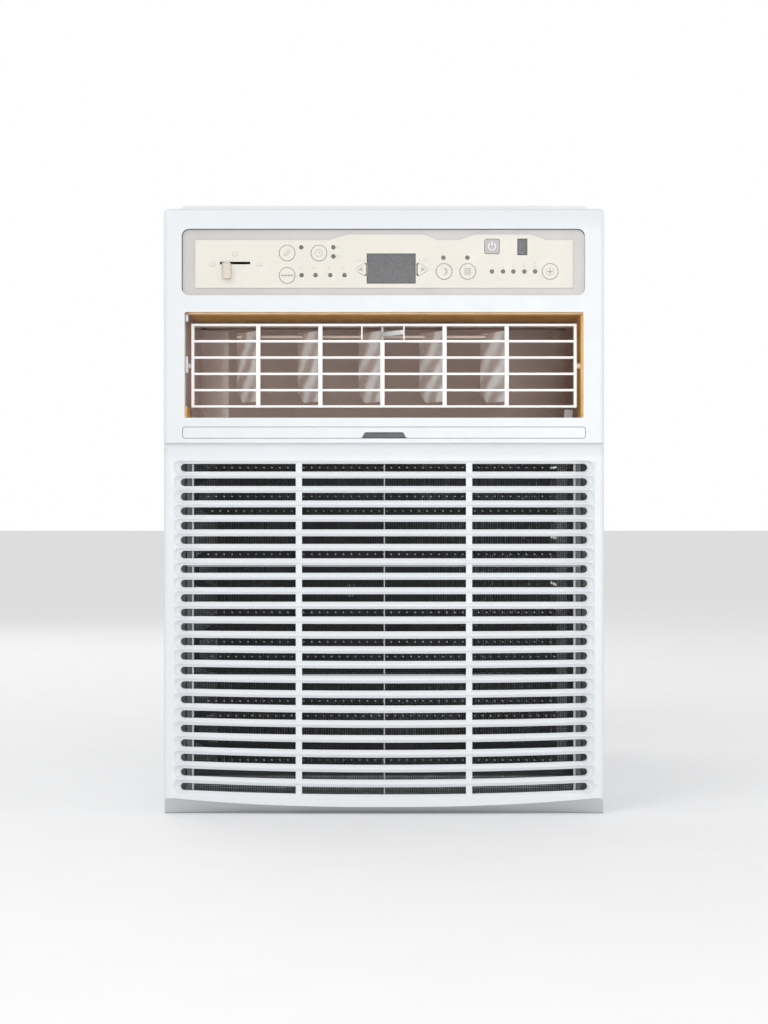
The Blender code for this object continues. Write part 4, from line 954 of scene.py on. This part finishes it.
def milky(name):
    """Milky plastic, more solid on its slanting streaks; painted highlights on them, painted light at the
    front.
    """
    material, tree, shader = new_material(name)
    coordinates = tree.nodes.new("ShaderNodeTexCoord")
    mapping = tree.nodes.new("ShaderNodeMapping")
    mapping.inputs["Rotation"].default_value = (math.radians(-32), 0, 0)
    mapping.inputs["Scale"].default_value = (0.25, 1, 1)
    streaks = tree.nodes.new("ShaderNodeTexWave")
    streaks.wave_type = 'BANDS'
    streaks.bands_direction = 'Y'
    streaks.inputs["Scale"].default_value = 17
    streaks.inputs["Distortion"].default_value = 3.4
    streaks.inputs["Detail"].default_value = 2
    streaks.inputs["Detail Scale"].default_value = 1.5
    tree.links.new(coordinates.outputs["Object"], mapping.inputs["Vector"])
    tree.links.new(mapping.outputs["Vector"], streaks.inputs["Vector"])
    split = tree.nodes.new("ShaderNodeSeparateXYZ")
    tree.links.new(coordinates.outputs["Object"], split.inputs["Vector"])
    # The colour is painted lighter towards the front edge and along the streaks: painted light.
    front_painted_light = tree.nodes.new("ShaderNodeMapRange")
    front_painted_light.inputs["From Min"].default_value = vane_high[1]
    front_painted_light.inputs["From Max"].default_value = vane_low[1]
    front_painted_light.inputs["To Max"].default_value = 0.5
    tree.links.new(split.outputs["Y"], front_painted_light.inputs["Value"])
    painted_light_amount = tree.nodes.new("ShaderNodeMath")
    painted_light_amount.operation = 'MULTIPLY_ADD'
    painted_light_amount.inputs[1].default_value = 0.7
    tree.links.new(streaks.outputs["Fac"], painted_light_amount.inputs[0])
    tree.links.new(front_painted_light.outputs["Result"], painted_light_amount.inputs[2])
    tint = blend_colours(tree, painted_light_amount.outputs["Value"], (0.780, 0.650, 0.600), (1.000, 0.990, 0.985),
                         0.30, 0.85)
    tree.links.new(tint, shader.inputs["Base Color"])
    tree.links.new(spread(tree, noise(tree, 120, 3), 0.16, 0.30), shader.inputs["Roughness"])
    opacity = tree.nodes.new("ShaderNodeMapRange")
    opacity.inputs["From Min"].default_value = 0.2
    opacity.inputs["From Max"].default_value = 0.9
    opacity.inputs["To Min"].default_value = 0.78
    opacity.inputs["To Max"].default_value = 1.0
    tree.links.new(streaks.outputs["Fac"], opacity.inputs["Value"])
    tree.links.new(opacity.outputs["Result"], shader.inputs["Alpha"])
    bump(tree, shader, streaks.outputs["Fac"], 0.00015)
    return material


vane_milk = milky("vane_milk")
for k in range(1, 6):
    dress(f"vane_{k}", vane_milk, f"vane_{k}", 0.0002, 2, 50)
tie_tan = moulded("tie_tan", (0.760, 0.640, 0.570), (0.700, 0.580, 0.515), 0.4)
dress("vane_tie_bar", tie_tan, "vane_tie_bar", 0.0003, 2, 50)
dress("vane_handle", white, "vane_3", 0.0004, 3)


# ---- Cabinet ----
# A wrap of zinc-plated sheet steel, painted pale grey, goes over the top and both sides. It is
# pressed with louvres for the outdoor air and screwed to the base pan and the bulkhead.
def painted_steel(name, colour, shade, roughness=0.42):
    """Powder-coated sheet: an orange-peel skin with dust and light rubs."""
    material, tree, shader = new_material(name)
    clouds = noise(tree, 9, 6)
    tree.links.new(blend_colours(tree, clouds, colour, shade, 0.3, 0.7), shader.inputs["Base Color"])
    tree.links.new(spread(tree, noise(tree, 35, 4), roughness - 0.08, roughness + 0.10),
                   shader.inputs["Roughness"])
    bump(tree, shader, noise(tree, 700, 3), 0.00004)
    return material


def plated(name, colour, shade, roughness, stretch=(1, 1, 1), scale=60, depth=0.00002):
    """Bare or plated metal with its rolling marks."""
    material, tree, shader = new_material(name)
    marks = noise(tree, scale, 5, stretch)
    tree.links.new(blend_colours(tree, marks, colour, shade), shader.inputs["Base Color"])
    tree.links.new(spread(tree, noise(tree, scale * 2, 3, stretch), roughness - 0.08, roughness + 0.10),
                   shader.inputs["Roughness"])
    bump(tree, shader, noise(tree, scale * 12, 2, stretch), depth)
    shader.inputs["Metallic"].default_value = 1.0
    return material


cabinet_paint = painted_steel("cabinet_paint", (0.730, 0.745, 0.755), (0.690, 0.706, 0.718))
zinc = plated("zinc_sheet", (0.560, 0.575, 0.590), (0.440, 0.455, 0.475), 0.42, (1, 1, 3), 45)
dress("cabinet_wrap", cabinet_paint, "root", 0.0004)
dress("base_pan", zinc, "root", 0.0006)
dress("rear_guard", cabinet_paint, "root", 0.0004)


def screw_tree():
    """A node tree that sets a domed screw head with its washer on every point, turned to one side."""
    tree = bpy.data.node_groups.new("screw_heads", 'GeometryNodeTree')
    tree.interface.new_socket("Geometry", in_out='INPUT', socket_type='NodeSocketGeometry')
    tree.interface.new_socket("Geometry", in_out='OUTPUT', socket_type='NodeSocketGeometry')
    for label, kind in (("Head Radius", 'NodeSocketFloat'), ("Head Height", 'NodeSocketFloat'),
                        ("Turn", 'NodeSocketVector'), ("Material", 'NodeSocketMaterial')):
        tree.interface.new_socket(label, in_out='INPUT', socket_type=kind)
    inputs = tree.nodes.new('NodeGroupInput')
    outputs = tree.nodes.new('NodeGroupOutput')
    head = tree.nodes.new('GeometryNodeMeshUVSphere')
    head.inputs["Segments"].default_value = 12
    head.inputs["Rings"].default_value = 6
    flatten = tree.nodes.new('GeometryNodeTransform')
    scale = tree.nodes.new('ShaderNodeCombineXYZ')
    share = tree.nodes.new('ShaderNodeMath')
    share.operation = 'DIVIDE'
    place = tree.nodes.new('GeometryNodeInstanceOnPoints')
    real = tree.nodes.new('GeometryNodeRealizeInstances')
    paint = tree.nodes.new('GeometryNodeSetMaterial')
    links = tree.links
    scale.inputs["X"].default_value = 1
    scale.inputs["Y"].default_value = 1
    links.new(inputs.outputs["Head Radius"], head.inputs["Radius"])
    links.new(inputs.outputs["Head Height"], share.inputs[0])
    links.new(inputs.outputs["Head Radius"], share.inputs[1])
    links.new(share.outputs["Value"], scale.inputs["Z"])
    links.new(head.outputs["Mesh"], flatten.inputs["Geometry"])
    links.new(scale.outputs["Vector"], flatten.inputs["Scale"])
    links.new(inputs.outputs[0], place.inputs["Points"])
    links.new(flatten.outputs["Geometry"], place.inputs["Instance"])
    links.new(inputs.outputs["Turn"], place.inputs["Rotation"])
    links.new(place.outputs["Instances"], real.inputs["Geometry"])
    links.new(real.outputs["Geometry"], paint.inputs["Geometry"])
    links.new(inputs.outputs["Material"], paint.inputs["Material"])
    links.new(paint.outputs["Geometry"], outputs.inputs["Geometry"])
    return tree


screw_head_tree = screw_tree()


screw_zinc = plated("screw_zinc", (0.500, 0.505, 0.515), (0.400, 0.405, 0.415), 0.3)


def screws(name, places, turn):
    """Screw heads at these places, each facing along its turned Z axis."""
    mesh = bpy.data.meshes.new(name)
    mesh.from_pydata(places, [], [])
    heads = run_tree(add_object(name, mesh), screw_head_tree,
                     {"Head Radius": 0.0036, "Head Height": 0.0017, "Turn": turn, "Material": screw_zinc})
    heads.data.shade_smooth()
    finish_piece(heads, screw_zinc, "root", slot="bright_steel")


wrap_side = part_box("cabinet_wrap")[1][0]
rear_flange = 0.294
bulkhead_line = -0.1005
for side, label in ((-1, "left"), (1, "right")):
    face = side * (wrap_side - 0.0002)
    places = [(face, y, 0.020) for y in (-0.150, 0.030, rear_flange)]
    places += [(face, rear_flange, z) for z in (0.180, 0.340, 0.500)]
    places += [(face, bulkhead_line, z) for z in (0.250, 0.450)]
    screws(f"screws_{label}", places, (0, side * math.pi / 2, 0))
    # Each pressed louvre has a slanting blade behind its slot, hinged from the metal above it.
    blades = bar_row(f"louvre_blades_{label}", 12, (face - side * 0.0042, 0.165, 0.1500), (0, 0, 0.024),
                     (0.0010, 0.132, 0.0105), cabinet_paint, (0, side * math.radians(38), 0))
    soften(blades, 0.0002)
    finish_piece(blades, cabinet_paint, "root", slot="cabinet_steel")
guard_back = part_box("rear_guard")[1][1]
places = [(x, guard_back - 0.0012, z) for x in (-0.1690, 0.1690) for z in (0.012, 0.175, 0.345, 0.508)]
screws("screws_rear", places, (-math.pi / 2, 0, 0))
rubber = moulded("black_rubber", (0.020, 0.020, 0.021), (0.030, 0.030, 0.031), 0.7, 1200, 0.00003)
dress("cord_gland", rubber, "root", 0.0008, 3)


# ---- Coils ----
# The evaporator behind the filter and the condenser at the back are packs of thin aluminium fins on
# copper tubes, which end in hairpin bends. The front pack and its tubes are painted nearly black,
# as painted shade for their place behind the net.
# A dark copy of the fin metal: painted shade for the front pack.
fin_painted_shade = plated("fin_painted_shade", (0.016, 0.019, 0.022), (0.008, 0.010, 0.012), 0.5, (1, 1, 4), 200)
fin_bright = plated("fin_bright", (0.820, 0.835, 0.850), (0.700, 0.720, 0.740), 0.42, (1, 1, 4), 200)
packs = (("evaporator_fins", fin_painted_shade, 0.0021), ("condenser_fins", fin_bright, 0.0019))
for node, material, pitch in packs:
    fin_low, fin_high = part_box(node)
    middle = 0.5 * (fin_low + fin_high)
    size = fin_high - fin_low
    count = int(size[0] / pitch)
    start = middle[0] - pitch * (count - 1) / 2
    fins = bar_row(node + "_pack", count, (start, middle[1], middle[2]), (pitch, 0, 0),
                   (0.00022, size[1], size[2]), material)
    finish_piece(fins, material, "root", node, slot="fins")
coil_low, coil_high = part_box("evaporator_fins")
flange = box_mesh("coil_flange", (coil_high[0] + 0.0040, coil_low[1] - 0.0018, coil_low[2]),
                  (coil_high[0] + 0.0130, coil_low[1] - 0.0008, coil_high[2]))
soften(flange, 0.0003)
flange_zinc = moulded("flange_zinc", (0.860, 0.875, 0.890), (0.340, 0.350, 0.360), 0.45, 900)
finish_piece(flange, flange_zinc, "root", slot="galvanised")
copper = plated("copper_tube", (0.720, 0.360, 0.215), (0.560, 0.270, 0.165), 0.3, (1, 1, 1), 80)
# The evaporator tubes get the same painted shade as its fins.
paint_node(fin_painted_shade, "evaporator_tube")
paint_node(copper, "condenser_tube", "suction_line", "discharge_line", "capillary_tube")


# ---- Machinery ----
# A hermetic compressor on rubber feet, a motor on a steel bracket that turns both fans, and the
# plastic scroll, shroud and tray around them, all hidden inside the cabinet.
steel_black = painted_steel("black_enamel", (0.020, 0.021, 0.023), (0.032, 0.033, 0.036), 0.36)
steel_bright = plated("ground_steel", (0.620, 0.625, 0.635), (0.500, 0.505, 0.520), 0.25, (1, 6, 1), 90)
fan_grey = moulded("fan_grey", (0.110, 0.115, 0.120), (0.080, 0.084, 0.088), 0.5)
scroll_foam = foam("scroll_foam", (0.620, 0.620, 0.600), (0.520, 0.520, 0.500))
board_green = moulded("board_green", (0.030, 0.130, 0.060), (0.022, 0.100, 0.046), 0.4)
paint_node(steel_black, "compressor", "accumulator", "fan_motor")
paint_node(steel_bright, "motor_shaft", "motor_bracket", "capacitor")
paint_node(fan_grey, "blower_wheel", "condenser_fan", "fan_shroud", "condensate_tray", "terminal_cover",
           "control_box")
paint_node(scroll_foam, "blower_scroll")
paint_node(rubber, "compressor_grommet_1", "compressor_grommet_2", "compressor_grommet_3")
paint_node(board_green, "control_board")
paint_node(lever_beige, "vent_rod")
paint_node(zinc, "vent_shutter", "bulkhead")
